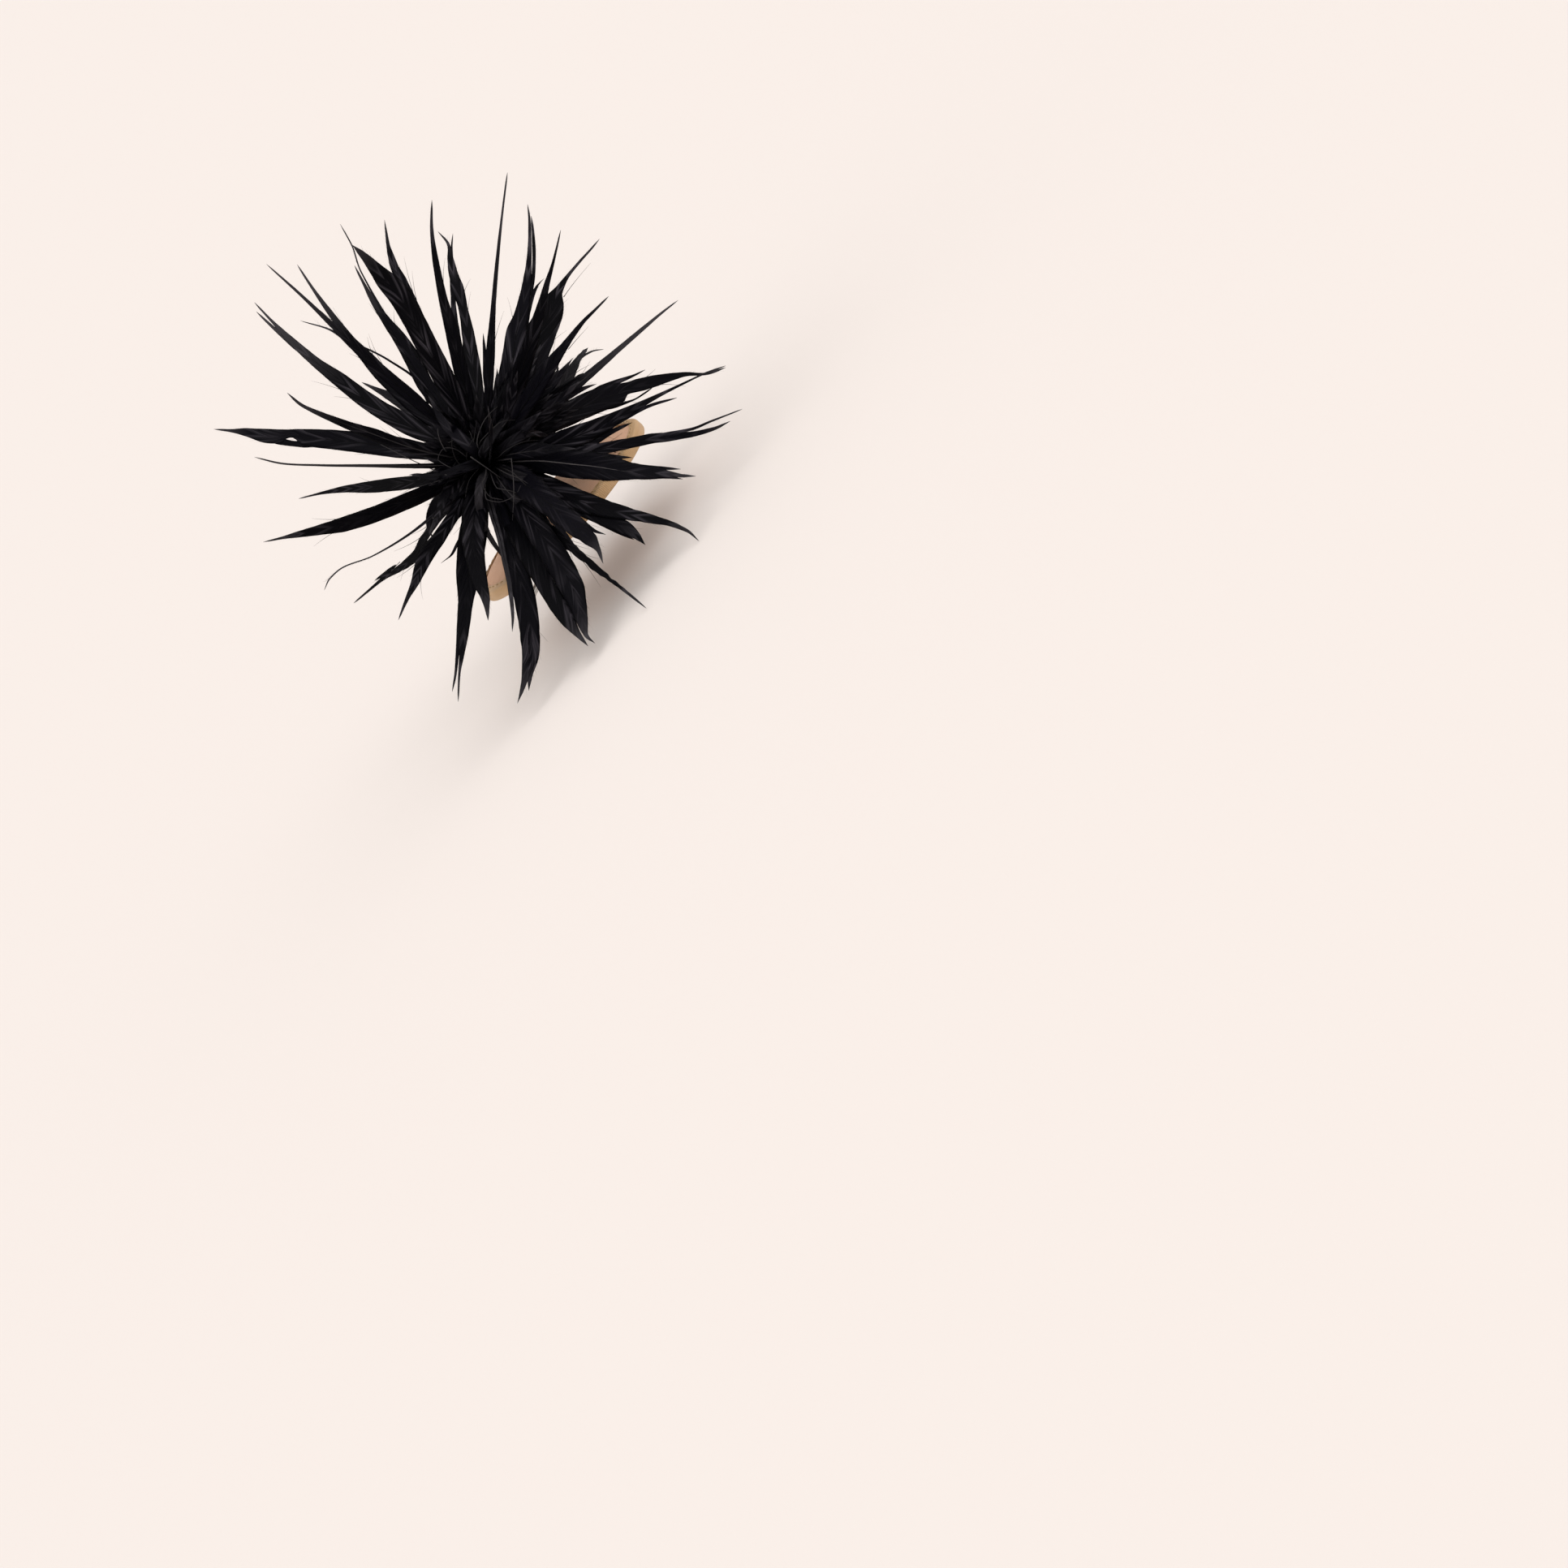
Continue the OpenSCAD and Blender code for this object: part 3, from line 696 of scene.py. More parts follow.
# Each feather's flat strips. A strip is a row of (share of the length, left edge, right edge),
# in mm from the centreline, with left and right as seen along the feather from the hub.
# The first strip of a feather holds its shaft; the others are split tips and parted locks.
STRIPS = {
    1: [[(.1, -1.4, 1.4), (.3, -2.3, 2.4), (.5, -2.5, 2.4), (.63, -2.5, 1.9), (.665, -1.3, 1.7),
         (.68, -.6, 1.6), (.7, -.7, 1.4), (.73, -2.5, 1.2), (.78, -2.7, 1.0), (.87, -1.3, .8),
         (.94, -.4, .2), (1, -.1, .1)],
        [(.58, -2.6, -1.9), (.64, -2.9, -1.4), (.68, -2.9, -1.5), (.72, -2.8, -1.2),
         (.77, -2.7, -2.0)]],
    2: [[(.1, -.6, .6), (.45, -.3, .3), (.7, -.8, -.4), (.86, -1.2, -.9), (1, -.3, -.2)]],
    3: [[(.1, -1, 1), (.3, -1.4, 1.0), (.5, -1.5, 1.4), (.65, -1.4, .7), (.8, -1.4, -.1),
         (.9, -1.3, -.6), (1, -.1, .1)]],
    4: [[(.1, -1.2, 1.2), (.25, -2.6, 1.6), (.4, -2.8, 1.1), (.55, -2.6, 1.3), (.68, -2.1, .5),
         (.8, -1.5, .3), (.9, -.5, .1), (1, .1, .3)],
        [(.72, -1.9, -.6), (.85, -1.6, -.8), (.97, -1.3, -1.1)]],
    5: [[(.1, -.8, .8), (.3, -1.6, 1.2), (.45, -1.8, 1.0), (.6, -1.4, 1.2), (.7, -.7, .6),
         (.84, -.1, .5), (1, 0, .1)]],
    6: [[(.1, -1.2, 1.2), (.3, -2.4, 1.8), (.45, -2.6, 1.1), (.55, -2.4, .9), (.65, -1.8, .2),
         (.76, -1.4, .1), (.89, -.7, -.1), (1, -.2, 0)],
        [(.62, -1.8, -1.0), (.71, -3.4, -2.9), (.81, -8.3, -8.1)],
        [(.25, 1.4, 2.2), (.36, 3.9, 4.3), (.49, 2.7, 3.1), (.6, .1, .5)]],
    7: [[(.1, -.8, .8), (.4, -1, 1), (.65, -.7, -.2), (.8, -.6, -.4), (.91, .4, .6),
         (1, .1, .2)]],
    8: [[(.1, -1.4, 1.4), (.3, -2.4, 2.2), (.5, -2.2, 3.2), (.62, -1.6, 4.1), (.72, -1.2, 4.5),
         (.8, -1.4, 3.6), (.86, -1.0, 2.4), (.93, -.6, 1.3), (1, -.4, -.2)]],
    9: [[(.1, -1.2, 1.2), (.4, -2.2, 1.0), (.6, -2.6, .5), (.72, -3.2, .1), (.8, -3.0, -.7),
         (.88, -2.0, -.9), (.94, -.9, -.4), (1, .1, .2)]],
    10: [[(.1, -1, 1), (.35, -1.8, 1.8), (.5, -1.0, 3.0), (.6, -.7, 2.8), (.7, -.8, 1.6),
          (.8, -.9, .7), (.9, -.5, .2), (1, -.3, -.1)]],
    11: [[(.1, -1, 1), (.3, -1.4, 1.6), (.5, -1.5, 1.5), (.6, -1.7, .6), (.75, -1.7, -.1),
          (.87, -1.3, -.5), (1, -.1, .1)]],
    12: [[(.1, -1.2, 1.2), (.35, -1.4, 1.8), (.51, -.9, 2.0), (.62, -.7, 1.8), (.7, -1.2, 1.7),
          (.78, -1.6, 1.0), (.86, -1.2, .4), (.92, -.5, .2), (1, -2.4, -2.2)],
         [(.12, -1.4, -.6), (.35, -2.6, -1.0), (.5, -2.8, -1.3), (.6, -2.9, -1.4), (.7, -2.1, -.9),
          (.8, -1.4, -.6)],
         [(.84, -.2, .3), (.9, .2, .6), (.97, 1.4, 1.6)]],
    13: [[(.1, -.8, .9), (.3, -.8, 1.2), (.5, -.4, .8), (.7, -.2, .6), (.85, 0, .4), (1, .1, .3)],
         [(.2, -1.2, -.4), (.3, -1.4, -.6), (.4, -1.9, -1.7)]],
    14: [[(.1, -1.2, 1.2), (.3, -2.2, 1.6), (.45, -2.6, 1.2), (.55, -1.8, 1.5), (.65, -1.0, 1.5),
          (.75, -.2, 1.2), (.85, .1, .9), (.93, .1, .6), (1, -.2, 0)],
         [(.45, .2, 1.4), (.6, .8, 2.0), (.7, 1.5, 2.3), (.8, 1.3, 2.1), (.88, 1.0, 1.6),
          (.95, .7, .9)],
         [(.5, .6, 1.4), (.6, 1.2, 2.4), (.66, 2.8, 3.4), (.69, 4.6, 4.9)]],
    15: [[(.1, -.8, .8), (.3, -1.2, 1.2), (.5, -1.3, 1.4), (.65, -1.1, 1.2), (.75, -.8, .6),
          (.85, -.2, .4), (1, 0, .1)]],
    16: [[(.1, -1.5, 1.5), (.3, -3.2, 2.6), (.5, -4.4, 2.4), (.62, -4.6, 2.2), (.68, -4.5, .8),
          (.73, -3.7, -1.3), (.8, -2.8, -1.9), (.88, -1.9, -1.3), (.95, -1.0, -.6),
          (1, -.5, -.3)]],
    17: [[(.1, -.9, .9), (.3, -1.9, 1.1), (.5, -2.5, .5), (.65, -2.4, -.5), (.8, -2.0, -1.1),
          (.9, -1.3, -.8), (1, -.7, -.5)]],
    18: [[(.1, -1.0, 1.0), (.3, -1.8, 1.8), (.5, -1.9, 2.2), (.62, -1.6, 2.0), (.72, -1.9, .9),
          (.8, -2.1, -.4), (.88, -2.2, -1.0), (.94, -1.8, -1.6)],
         [(.6, -1, .6), (.72, -1.4, .4), (.82, -1.5, -.8), (.92, -.6, -.1), (1, 1.4, 1.8)],
         [(.45, 1.2, 2.2), (.6, 1.0, 2.6), (.7, 1.6, 2.8), (.78, 3.4, 3.9), (.85, 4.6, 4.8)],
         [(.5, -2, -1), (.62, -3, -2.2), (.7, -4.4, -4.1)]],
    19: [[(.1, -.6, .8), (.3, -.7, 1.2), (.5, -.6, 1.3), (.65, -.4, 1.0), (.8, -.3, .6),
          (.9, -.2, .3), (1, .1, .2)]],
    20: [[(.1, -1.2, 1.2), (.3, -2.0, 2.2), (.45, -2.5, 2.6), (.52, -2.3, 2.7), (.56, -1.9, 1.3),
          (.64, -1.8, 1.7), (.72, -1.3, 1.3), (.82, -.4, .8), (.91, .9, 1.5), (1, .2, .4)],
         [(.42, -2.6, -1.4), (.54, -3.2, -2.0), (.61, -3.3, -2.8), (.67, -3.8, -3.6)],
         [(.44, 1.6, 2.7), (.51, 2.4, 3.1), (.57, 2.9, 3.2), (.62, 2.3, 2.6), (.67, 1.3, 1.6)]],
    21: [[(.1, -.9, 1.2), (.3, -1.2, 2.6), (.45, -1.0, 2.4), (.55, -1.1, 1.5), (.65, -1.1, .4),
          (.75, -1.1, -.4), (.9, -1.1, -.8), (1, -.5, -.3)],
         [(.4, .6, 2.6), (.55, .6, 1.8), (.66, .5, 1.2), (.78, 1.7, 1.9)],
         [(.25, 1.0, 3.4), (.4, 1.6, 3.5), (.5, 2.3, 3.2), (.58, 2.9, 3.1)]],
    22: [[(.1, -.8, 1.2), (.3, -.9, 1.6), (.5, -1.1, 1.5), (.65, -1.2, 1.4), (.75, -.3, 1.7),
          (.83, .5, 1.8), (.9, .6, 1.4), (.97, -.1, .1)],
         [(.6, -1.2, .6), (.7, -.8, .3), (.82, -.5, .1), (.9, -1.3, -.9), (.97, -1.9, -1.7),
          (1.02, -2.4, -2.2)]],
    23: [[(.1, -1.4, 1.6), (.3, -3.0, 2.8), (.5, -3.2, 4.0), (.62, -2.6, 4.2), (.7, -1.5, 3.7),
          (.76, -1.1, 3.0), (.82, -1.0, 2.5), (.88, -.4, 1.6), (.94, .1, 1.1), (1, .2, .4)],
         [(.5, -3, -1.2), (.62, -3.1, -1.6), (.68, -2.9, -2.4), (.71, -2.8, -2.6)],
         [(.6, -.9, .6), (.75, -1.2, .4), (.86, -1.2, -.4), (.93, -1.2, -1.0)],
         [(.6, 1.4, 4.2), (.78, 1.4, 2.8), (.9, 1.1, 1.7), (.95, 1.3, 1.5)]],
    24: [[(.1, -1.2, 1.4), (.3, -1.8, 3.0), (.5, -1.5, 3.6), (.62, -1.5, 3.0), (.7, -1.7, 1.8),
          (.8, -2.0, .3), (.87, -2.1, -.7), (.94, -1.6, -.9), (1, .1, .3)],
         [(.2, 1.0, 2.6), (.4, 1.4, 4.2), (.55, 1.8, 4.8), (.66, 1.4, 5.4), (.72, 1.8, 5.4),
          (.77, 3.2, 5.4), (.82, 5.7, 6.0)],
         [(.6, 3, 5.2), (.7, 4.2, 5.6), (.77, 5.4, 5.8)]],
    25: [[(.1, -1.2, 1.2), (.3, -2.4, 2.2), (.5, -3.0, 2.4), (.65, -3.4, 2.0), (.78, -3.8, 1.3),
          (.87, -3.4, 0), (.93, -2.2, -.8), (1, -.2, .1)],
         [(.7, -3.6, -2.6), (.84, -4.2, -3.4), (.9, -5.5, -5.2)],
         [(.6, 1, 2.6), (.75, 1.6, 2.4), (.84, 2.2, 2.4)]],
    26: [[(.1, -.7, .9), (.3, -.9, 1.3), (.5, -.8, 1.4), (.7, -.7, 1.3), (.8, -.6, .8),
          (.9, -.4, .3), (1, -.1, .1)]],
    27: [[(.1, -1.3, 1.3), (.3, -2.2, 2.2), (.5, -2.6, 2.4), (.65, -2.8, 2.2), (.78, -2.7, 1.8),
          (.87, -2.4, .9), (.94, -1.9, -.6), (1, -2.1, -1.9)]],
    28: [[(.1, -1.2, 1.2), (.3, -2.6, 2.0), (.5, -3.9, 2.0), (.66, -4.9, 1.8), (.77, -4.6, 1.4),
          (.85, -2.9, 1.3), (.92, -.9, 1.5), (.96, .3, 1.2), (1, -.4, -.2)]],
    29: [[(.1, -1.3, 1.2), (.3, -3.0, .8), (.5, -5.6, -.6), (.65, -7.4, -2.0), (.74, -7.5, -2.4),
          (.83, -6.8, -2.4), (.89, -4.4, -1.9), (.95, -2.2, -1.1), (1, -.1, .1)],
         [(.72, -7.2, -4.4), (.84, -6.6, -4.2), (.91, -4.4, -3.2), (.96, -3.3, -3.0)]],
    30: [[(.1, -.9, .7), (.3, -2.0, -.6), (.5, -3.2, -1.9), (.7, -3.4, -2.3), (.82, -2.9, -1.9),
          (.92, -1.9, -1.2), (1, -.3, -.2)]],
    31: [[(.1, -1.2, 1.2), (.3, -2.2, 2.0), (.5, -2.3, 2.4), (.65, -2.4, 2.2), (.78, -2.1, 1.5),
          (.87, -1.8, .4), (.94, -.9, .1), (1, 0, .3)]],
    32: [[(.1, -1.4, 1.6), (.3, -2.2, 2.6), (.45, -2.4, 2.7), (.6, -1.8, 2.0), (.72, -1.4, 1.2),
          (.82, -.6, .5), (.9, 0, .4), (1, -.1, .1)],
         [(.55, .6, 2.1), (.7, .8, 1.8), (.8, .7, 1.5), (.88, .9, 1.4), (.96, 1.6, 1.8)],
         [(.3, 2.2, 2.8), (.38, 3.4, 3.8), (.42, 5.6, 5.8)]],
    33: [[(.1, -1.0, 1.0), (.3, -2.4, .2), (.45, -2.5, .6), (.58, -2.2, 1.8), (.68, -1.9, 1.1),
          (.76, -1.6, .4), (.86, -.7, .2), (1, 0, .1)]],
    34: [[(.1, -.8, 1.2), (.3, -.6, 1.2), (.45, -1.6, .4), (.55, -3.2, -.8), (.63, -2.8, -.7),
          (.7, -1.7, -.4), (.76, -.9, .2), (.85, -.4, .2), (1, 0, .2)],
         [(.66, -.8, .4), (.75, .1, .7), (.82, .7, 1.0)]],
    35: [[(.1, -.5, .5), (.4, -.2, .3), (.67, .9, 1.1), (.84, 2.5, 2.7), (.93, 1.6, 1.8),
          (1, -.5, -.4)]],
    36: [[(.1, -1.3, 1.3), (.3, -2.0, 1.6), (.5, -2.4, 1.4), (.62, -2.4, 1.4), (.72, -1.6, 1.2),
          (.84, -.6, .9), (.92, 0, .5), (1, .2, .3)]],
    37: [[(.1, -1.0, 1.0), (.3, -1.7, 1.0), (.5, -1.4, 1.7), (.62, -.8, 1.9), (.72, 0, 1.8),
          (.85, .4, 1.1), (.93, .2, .5), (1, -.2, 0)]],
    38: [[(.1, -1, 1), (.4, -1.4, 1.4), (.6, -1.2, 1.3), (.8, -1.3, .2), (.9, -.8, .1),
          (1, 0, .1)]],
}
PLAIN_STRIP = [(.1, -1.1, 1.1), (.35, -1.9, 1.8), (.6, -2.0, 1.9), (.8, -1.1, 1.2), (.92, -.4, .4),
               (1, -.1, .1)]

# How a feather differs from the rest: how pale its shaft is, how grey it gets over its last
# `sheer` part and all along (`veil`), the depth of its fold and ripples, its raggedness and
# loose barbs, the place of its shaft between the edges, its quill's radius in mm, and how full
# it is near its root.
FORM = dict(pale=0.0, grey=0.5, sheer=0.14, cup=0.35 * MM, ripple=0.22 * MM, jag=0.05, strays=2,
            spine=0.5, quill=0.3, full=0.2, veil=0.0)
FULL = {12: 0.4, 14: 0.6, 15: 0.9, 16: 0.4, 17: 0.6, 18: 0.8, 19: 0.4, 20: 0.5, 21: 0.5, 22: 0.4,
        31: 0.55, 32: 0.5, 26: 0.7, 25: 0.6}
FORMS = {
    1: dict(strays=1), 2: dict(pale=0.5, grey=0.6, sheer=0.7, strays=0, quill=0.2),
    3: dict(sheer=0.3, pale=0.25), 4: dict(sheer=0.45, grey=0.8), 5: dict(sheer=0.4, grey=0.7),
    6: dict(sheer=0.35, grey=0.7, strays=3), 7: dict(sheer=0.4, strays=0, quill=0.22),
    9: dict(jag=0.12, strays=8), 10: dict(sheer=0.3), 13: dict(sheer=0.5, strays=1, quill=0.3),
    12: dict(jag=0.1, strays=4), 14: dict(jag=0.08), 18: dict(jag=0.16, strays=7, cup=0.8 * MM),
    19: dict(sheer=0.6, grey=0.75, pale=0.3, strays=1), 20: dict(jag=0.1, strays=4),
    21: dict(strays=3), 22: dict(jag=0.08), 23: dict(jag=0.16, pale=0.9, strays=3),
    24: dict(jag=0.1, strays=3), 25: dict(jag=0.14, strays=5), 26: dict(jag=0.3, strays=9),
    27: dict(pale=0.75, spine=0.12), 28: dict(jag=0.08), 29: dict(jag=0.08),
    30: dict(veil=0.32, cup=0.8 * MM), 34: dict(jag=0.12, strays=5),
    35: dict(sheer=0.9, grey=0.7, strays=0, quill=0.2),
    38: dict(jag=0.12, strays=4), 39: dict(pale=0.2), 40: dict(pale=0.1), 41: dict(pale=0.25),
}


def make_feather(index):
    node = f"feather_{index:02d}"
    rng = random.Random(1000 + index)
    form = {**FORM, "phase": rng.uniform(0, TURN), **FORMS.get(index, {})}
    form["full"] = FULL.get(index, form["full"])
    blade = Blade.of_node(node)
    build = Builder()
    strips = STRIPS.get(index, [PLAIN_STRIP])
    leaves = [Leaf(blade, strip, full=form["full"]) for strip in strips]
    for layer, leaf in enumerate(leaves):
        add_leaf(build, leaf, form, rng, layer)
        add_fringe(build, leaf, form, rng)
    add_strays(build, leaves[0], form, rng)
    add_shaft(build, leaves[0], form)
    feather = build.object("plume_" + node[-2:], [VANE, SHAFT])
    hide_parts(node)


def spread_directions(count, rng, lowest=-0.5):
    """Evenly spread directions round the hub, apart from those down towards the base."""
    found = []
    golden = math.pi * (3 - math.sqrt(5))
    for i in range(count):
        z = 1 - (1 - lowest) * (i + 0.5) / count
        turn = golden * i + rng.uniform(-0.3, 0.3)
        flat = math.sqrt(1 - z * z)
        found.append(np.array([flat * math.cos(turn), flat * math.sin(turn), z]))
    return found


SMALL_STRIP = [(.1, -1.2, 1.2), (.3, -1.9, 1.9), (.55, -1.9, 1.7), (.8, -1.0, .9), (.92, -.4, .3),
               (1, -.05, .05)]

# How far the dense middle of the burst reaches, in mm, by angle about the line of sight,
# in degrees from image right
MIDDLE_REACH = [(-180, 15), (-145, 20), (-110, 13), (-75, 14), (-50, 16), (-30, 19), (-12, 18),
                (8, 21), (22, 18), (30, 23), (45, 31), (60, 34), (75, 24), (90, 14), (120, 19),
                (140, 19), (160, 14), (180, 15)]


def middle_reach(direction):
    """Length of a short plume that ends at the edge of the dense middle."""
    x, y = direction @ np.array(RIGHT), direction @ np.array(IMAGE_UP)
    angles, reach = np.array(MIDDLE_REACH).T
    flat = math.hypot(x, y)
    reach = np.interp(math.degrees(math.atan2(y, x)), angles, reach)
    return (16 + (reach - 16) * smoothstep(flat * 1.4 - 0.4)) * MM


def in_thicket(direction):
    """Whether a direction lies in the thickest part, up and to the right of the hub."""
    towards = unit(0.62 * np.array(RIGHT) + 0.78 * np.array(IMAGE_UP))
    return direction @ towards > 0.83


DOWN_GAP = 6 * MM                    # least height of the down over the dome


def make_down(count=150, groups=6):
    """Short curled plumes and barbs that fill the middle of the burst."""
    rng = random.Random(77)
    builders = [Builder() for _ in range(groups)]
    directions = spread_directions(count, rng)
    directions += [d for d in spread_directions(2 * count, rng) if in_thicket(d)]
    for i, direction in enumerate(directions):
        build = builders[i % groups]
        form = {**FORM, "phase": rng.uniform(0, TURN), "strays": 1, "cup": 0.9 * MM,
                "jag": 0.12, "quill": 0.2, "pale": rng.choice((0, 0, 0, 0.15, 0.4)),
                "veil": rng.choice((0, 0, 0.03, 0.08))}
        bend = np.array([rng.gauss(0, 0.16) for _ in range(3)])
        length = middle_reach(direction) * rng.uniform(0.7, 1.12) - HUB_R * 0.7
        blade = Blade.curling(direction, length, bend, HUB_R * 0.7)
        leaf = Leaf(blade, SMALL_STRIP, rng.uniform(0.7, 1.2))
        s = np.linspace(0, blade.length, 12)
        reach = [blade.place(s, side * 2.6 * MM + 0 * s, 0 * s) for side in (-1, 0, 1)]
        if not clears_base(np.array(reach), DOWN_GAP):
            continue
        add_leaf(build, leaf, form, rng, 0)
        add_fringe(build, leaf, form, rng)
        add_strays(build, leaf, form, rng)
        add_shaft(build, leaf, form)
    for i, build in enumerate(builders, 1):
        down = build.object(f"down_{i}", [VANE, SHAFT])


def make_curls(count=54):
    """Bare curled barbs and shaft ends that stand out of the down, some of them pale."""
    rng = random.Random(5)
    build = Builder()
    for direction in spread_directions(count, rng, -0.35):
        across = unit(np.cross(direction, [rng.gauss(0, 1) for _ in range(3)]))
        start, length = HUB_R * rng.uniform(0.8, 1.7), rng.uniform(7, 15) * MM
        hook = rng.uniform(-0.9, 0.9)
        q = np.linspace(0, 1, 14)[:, None]
        lean = direction * rng.uniform(0.3, 1.0) + across * rng.uniform(0.2, 1.0)
        path = (HUB + direction * start + unit(lean) * length * q
                + np.cross(direction, across) * hook * length * q ** 2 * 0.6)
        path = path - direction * (length * 0.25 * q ** 3)
        radius = rng.uniform(0.09, 0.24) * MM * (1 - 0.75 * q[:, 0] ** 2)
        pale = rng.choice((0.0, 0.05, 0.2, 0.4, 0.6))
        if not clears_base(path):
            continue
        sweep(build, path, radius, 6, slot=1, pale=pale)
    curls = build.object("curled_barbs", [VANE, SHAFT])


# Bare shafts and narrow locks that curl over the near side of the burst: how far they stand
# out towards the camera in mm, half the width in mm, the greyness, and their points in mm
# from the hub, right and up as the camera sees them.
WISPS = [
    (30, 0.24, 0.5, [(6.2, 1.0), (6.8, -6), (6.5, -14.7)]),
    (17, 0.22, 0.3, [(-2.5, 4.7), (-.5, 11), (5.9, 17)]),
    (17, 0.16, 0.3, [(3.8, 9), (8.6, 13.2), (14.7, 14.3)]),
    (17, 0.16, 0.25, [(9.2, 12.6), (12.4, 17), (16.8, 19.7)]),
    (17, 0.16, 0.4, [(-6, -.6), (-9, -1.4), (-12.5, .6), (-11.4, 3.4), (-7.6, 3.2), (-5.4, 1.6)]),
    (17, 0.24, 0.4, [(-9.2, -3.4), (-17, -.4), (-27.3, 4.6)]),
    (17, 0.26, 0.5, [(-4.1, 1.4), (0, -1.4), (5.2, -5.2)]),
    (30, 0.18, 0.5, [(6.7, -3.4), (10.5, -5.4), (13.9, -9.2)]),
    (17, 0.22, 0.35, [(-5.6, -9.7), (-4.2, -4), (-2.1, -1.5)]),
    (17, 0.2, 0.25, [(-8, -14), (-7.4, -8), (-4.8, -3.2)]),
    (24, 0.16, 0.3, [(13, -1.7), (22, 1.2), (32.8, 2.5)]),
    (17, 0.18, 0.2, [(1, 2), (1.9, 8), (7.5, 13.5)]),
    (30, 0.18, 0.45, [(0, -9.4), (3.4, -10), (7.4, -8), (8.6, -5.8)]),
    (30, 0.2, 0.4, [(2.6, -6.5), (8.4, -8.2), (11.6, -12)]),
    (30, 0.16, 0.35, [(7, -2.9), (10.4, -6.2), (14.2, -9.4), (22.8, -13.6)]),
    (30, 0.16, 0.3, [(10.6, -10.2), (15.2, -13), (24.2, -17.2)]),
    (30, 0.3, 0.3, [(-1.2, -5), (.6, -8.6), (4, -9.4)]),
    (30, 0.17, 0.45, [(6.8, -8.9), (9.6, -9.4), (12.8, -8.2), (13.2, -10.4)]),
    (18, 0.15, 0.25, [(-1.5, 5.6), (2.8, 9.9), (11.4, 11.4), (18.5, 15.6)]),
    (18, 0.15, 0.2, [(4, 2.4), (9, 5.2), (18.5, 5.6)]),
    (18, 0.15, 0.25, [(-4.4, 8), (-3.4, 5.2), (-2.6, 10.8)]),
]
LOCKS = [
    (26, 1.0, 0.3, [(-2.5, -7.6), (-.9, -15), (1.7, -20.5), (5.9, -27)]),
    (28, 1.2, 0.12, [(10.5, -4.2), (18, -5.6), (25, -8.2)]),
    (17, 1.7, 0.0, [(-6, -6), (-12, -9.6), (-15, -13.5), (-13.6, -19.5)]),
    (28, 1.0, 0.12, [(8, -10), (14, -15), (18.6, -22.4)]),
    (17, 2.2, 0.0, [(4, 14), (8, 22), (13, 27)]),
    (17, 2.0, 0.03, [(10, 10), (17, 14.6), (24, 21)]),
    (17, 1.0, 0.1, [(-1, 3), (3.2, 9), (7.4, 15.6)]),
    (17, 1.3, 0.05, [(6, 5), (10, 7.4), (17, 6.6)]),
    (17, 1.4, 0.04, [(-4, 4), (-9, 8), (-15, 17)]),
    (17, 1.2, 0.04, [(-5, -1), (-11, -3.4), (-20, -3.2)]),
]
LOCK_STRIP = [(.1, -.4, .4), (.35, -.8, .8), (.6, -1, 1), (.85, -.5, .5), (1, -.05, .05)]


PASS_GAP = 3.6                       # how far in front of the base's edge they pass, mm


def front_path(stand, points, count=26):
    """A smooth path from the hub through points on the near side, `stand` mm in front.

    Where the base would be in the way, the path passes in front of its edge.
    """
    axes = [np.array(v) for v in (RIGHT, IMAGE_UP, TO_CAMERA)]
    knots = [HUB + axes[2] * HUB_R * 0.6]
    for x, y in points:
        lift = math.sqrt(max(stand ** 2 - x * x - y * y, 5.0 ** 2))
        flat = HUB + (axes[0] * x + axes[1] * y) * MM
        while not clears_base(flat + axes[2] * (lift - PASS_GAP) * MM):
            lift += 1
        knots.append(flat + axes[2] * lift * MM)
    knots = np.array(knots)
    run = np.concatenate([[0], np.cumsum(np.linalg.norm(np.diff(knots, axis=0), axis=1))])
    at = np.linspace(0, run[-1], count)
    return np.stack([curve_through(at, run, knots[:, k]) for k in range(3)], axis=-1)


def make_front():
    """The curled shafts and locks of the near side."""
    rng = random.Random(21)
    build = Builder()
    for stand, radius, grey, points in WISPS:
        path = front_path(stand, points)
        q = np.linspace(0, 1, len(path))
        worn = grey * smoothstep(q * 4 - 0.7) * (1 - 0.3 * q)
        sweep(build, path, radius * MM * (1.05 - 0.75 * q), 6, slot=1, pale=worn)
    for stand, half, grey, points in LOCKS:
        path = front_path(stand, points, 14)
        tangent = unit(np.gradient(path, axis=0))
        blade = Blade(path, unit(np.cross(tangent, np.array(TO_CAMERA))), degree=6)
        form = {**FORM, "phase": rng.uniform(0, TURN), "veil": grey, "cup": 0.8 * MM,
                "jag": 0.1, "quill": 0.2, "pale": grey}
        leaf = Leaf(blade, LOCK_STRIP, half)
        add_leaf(build, leaf, form, rng, 0)
        add_fringe(build, leaf, form, rng)
        add_shaft(build, leaf, form)
    front = build.object("near_locks", [VANE, SHAFT])


# ---------------------------------------------------------------- hub, stem and stitches

THREAD_R = 0.24 * MM
THREAD_SUNK = 0.55 * MM              # how deep the ball's core lies under the CAD ball's face


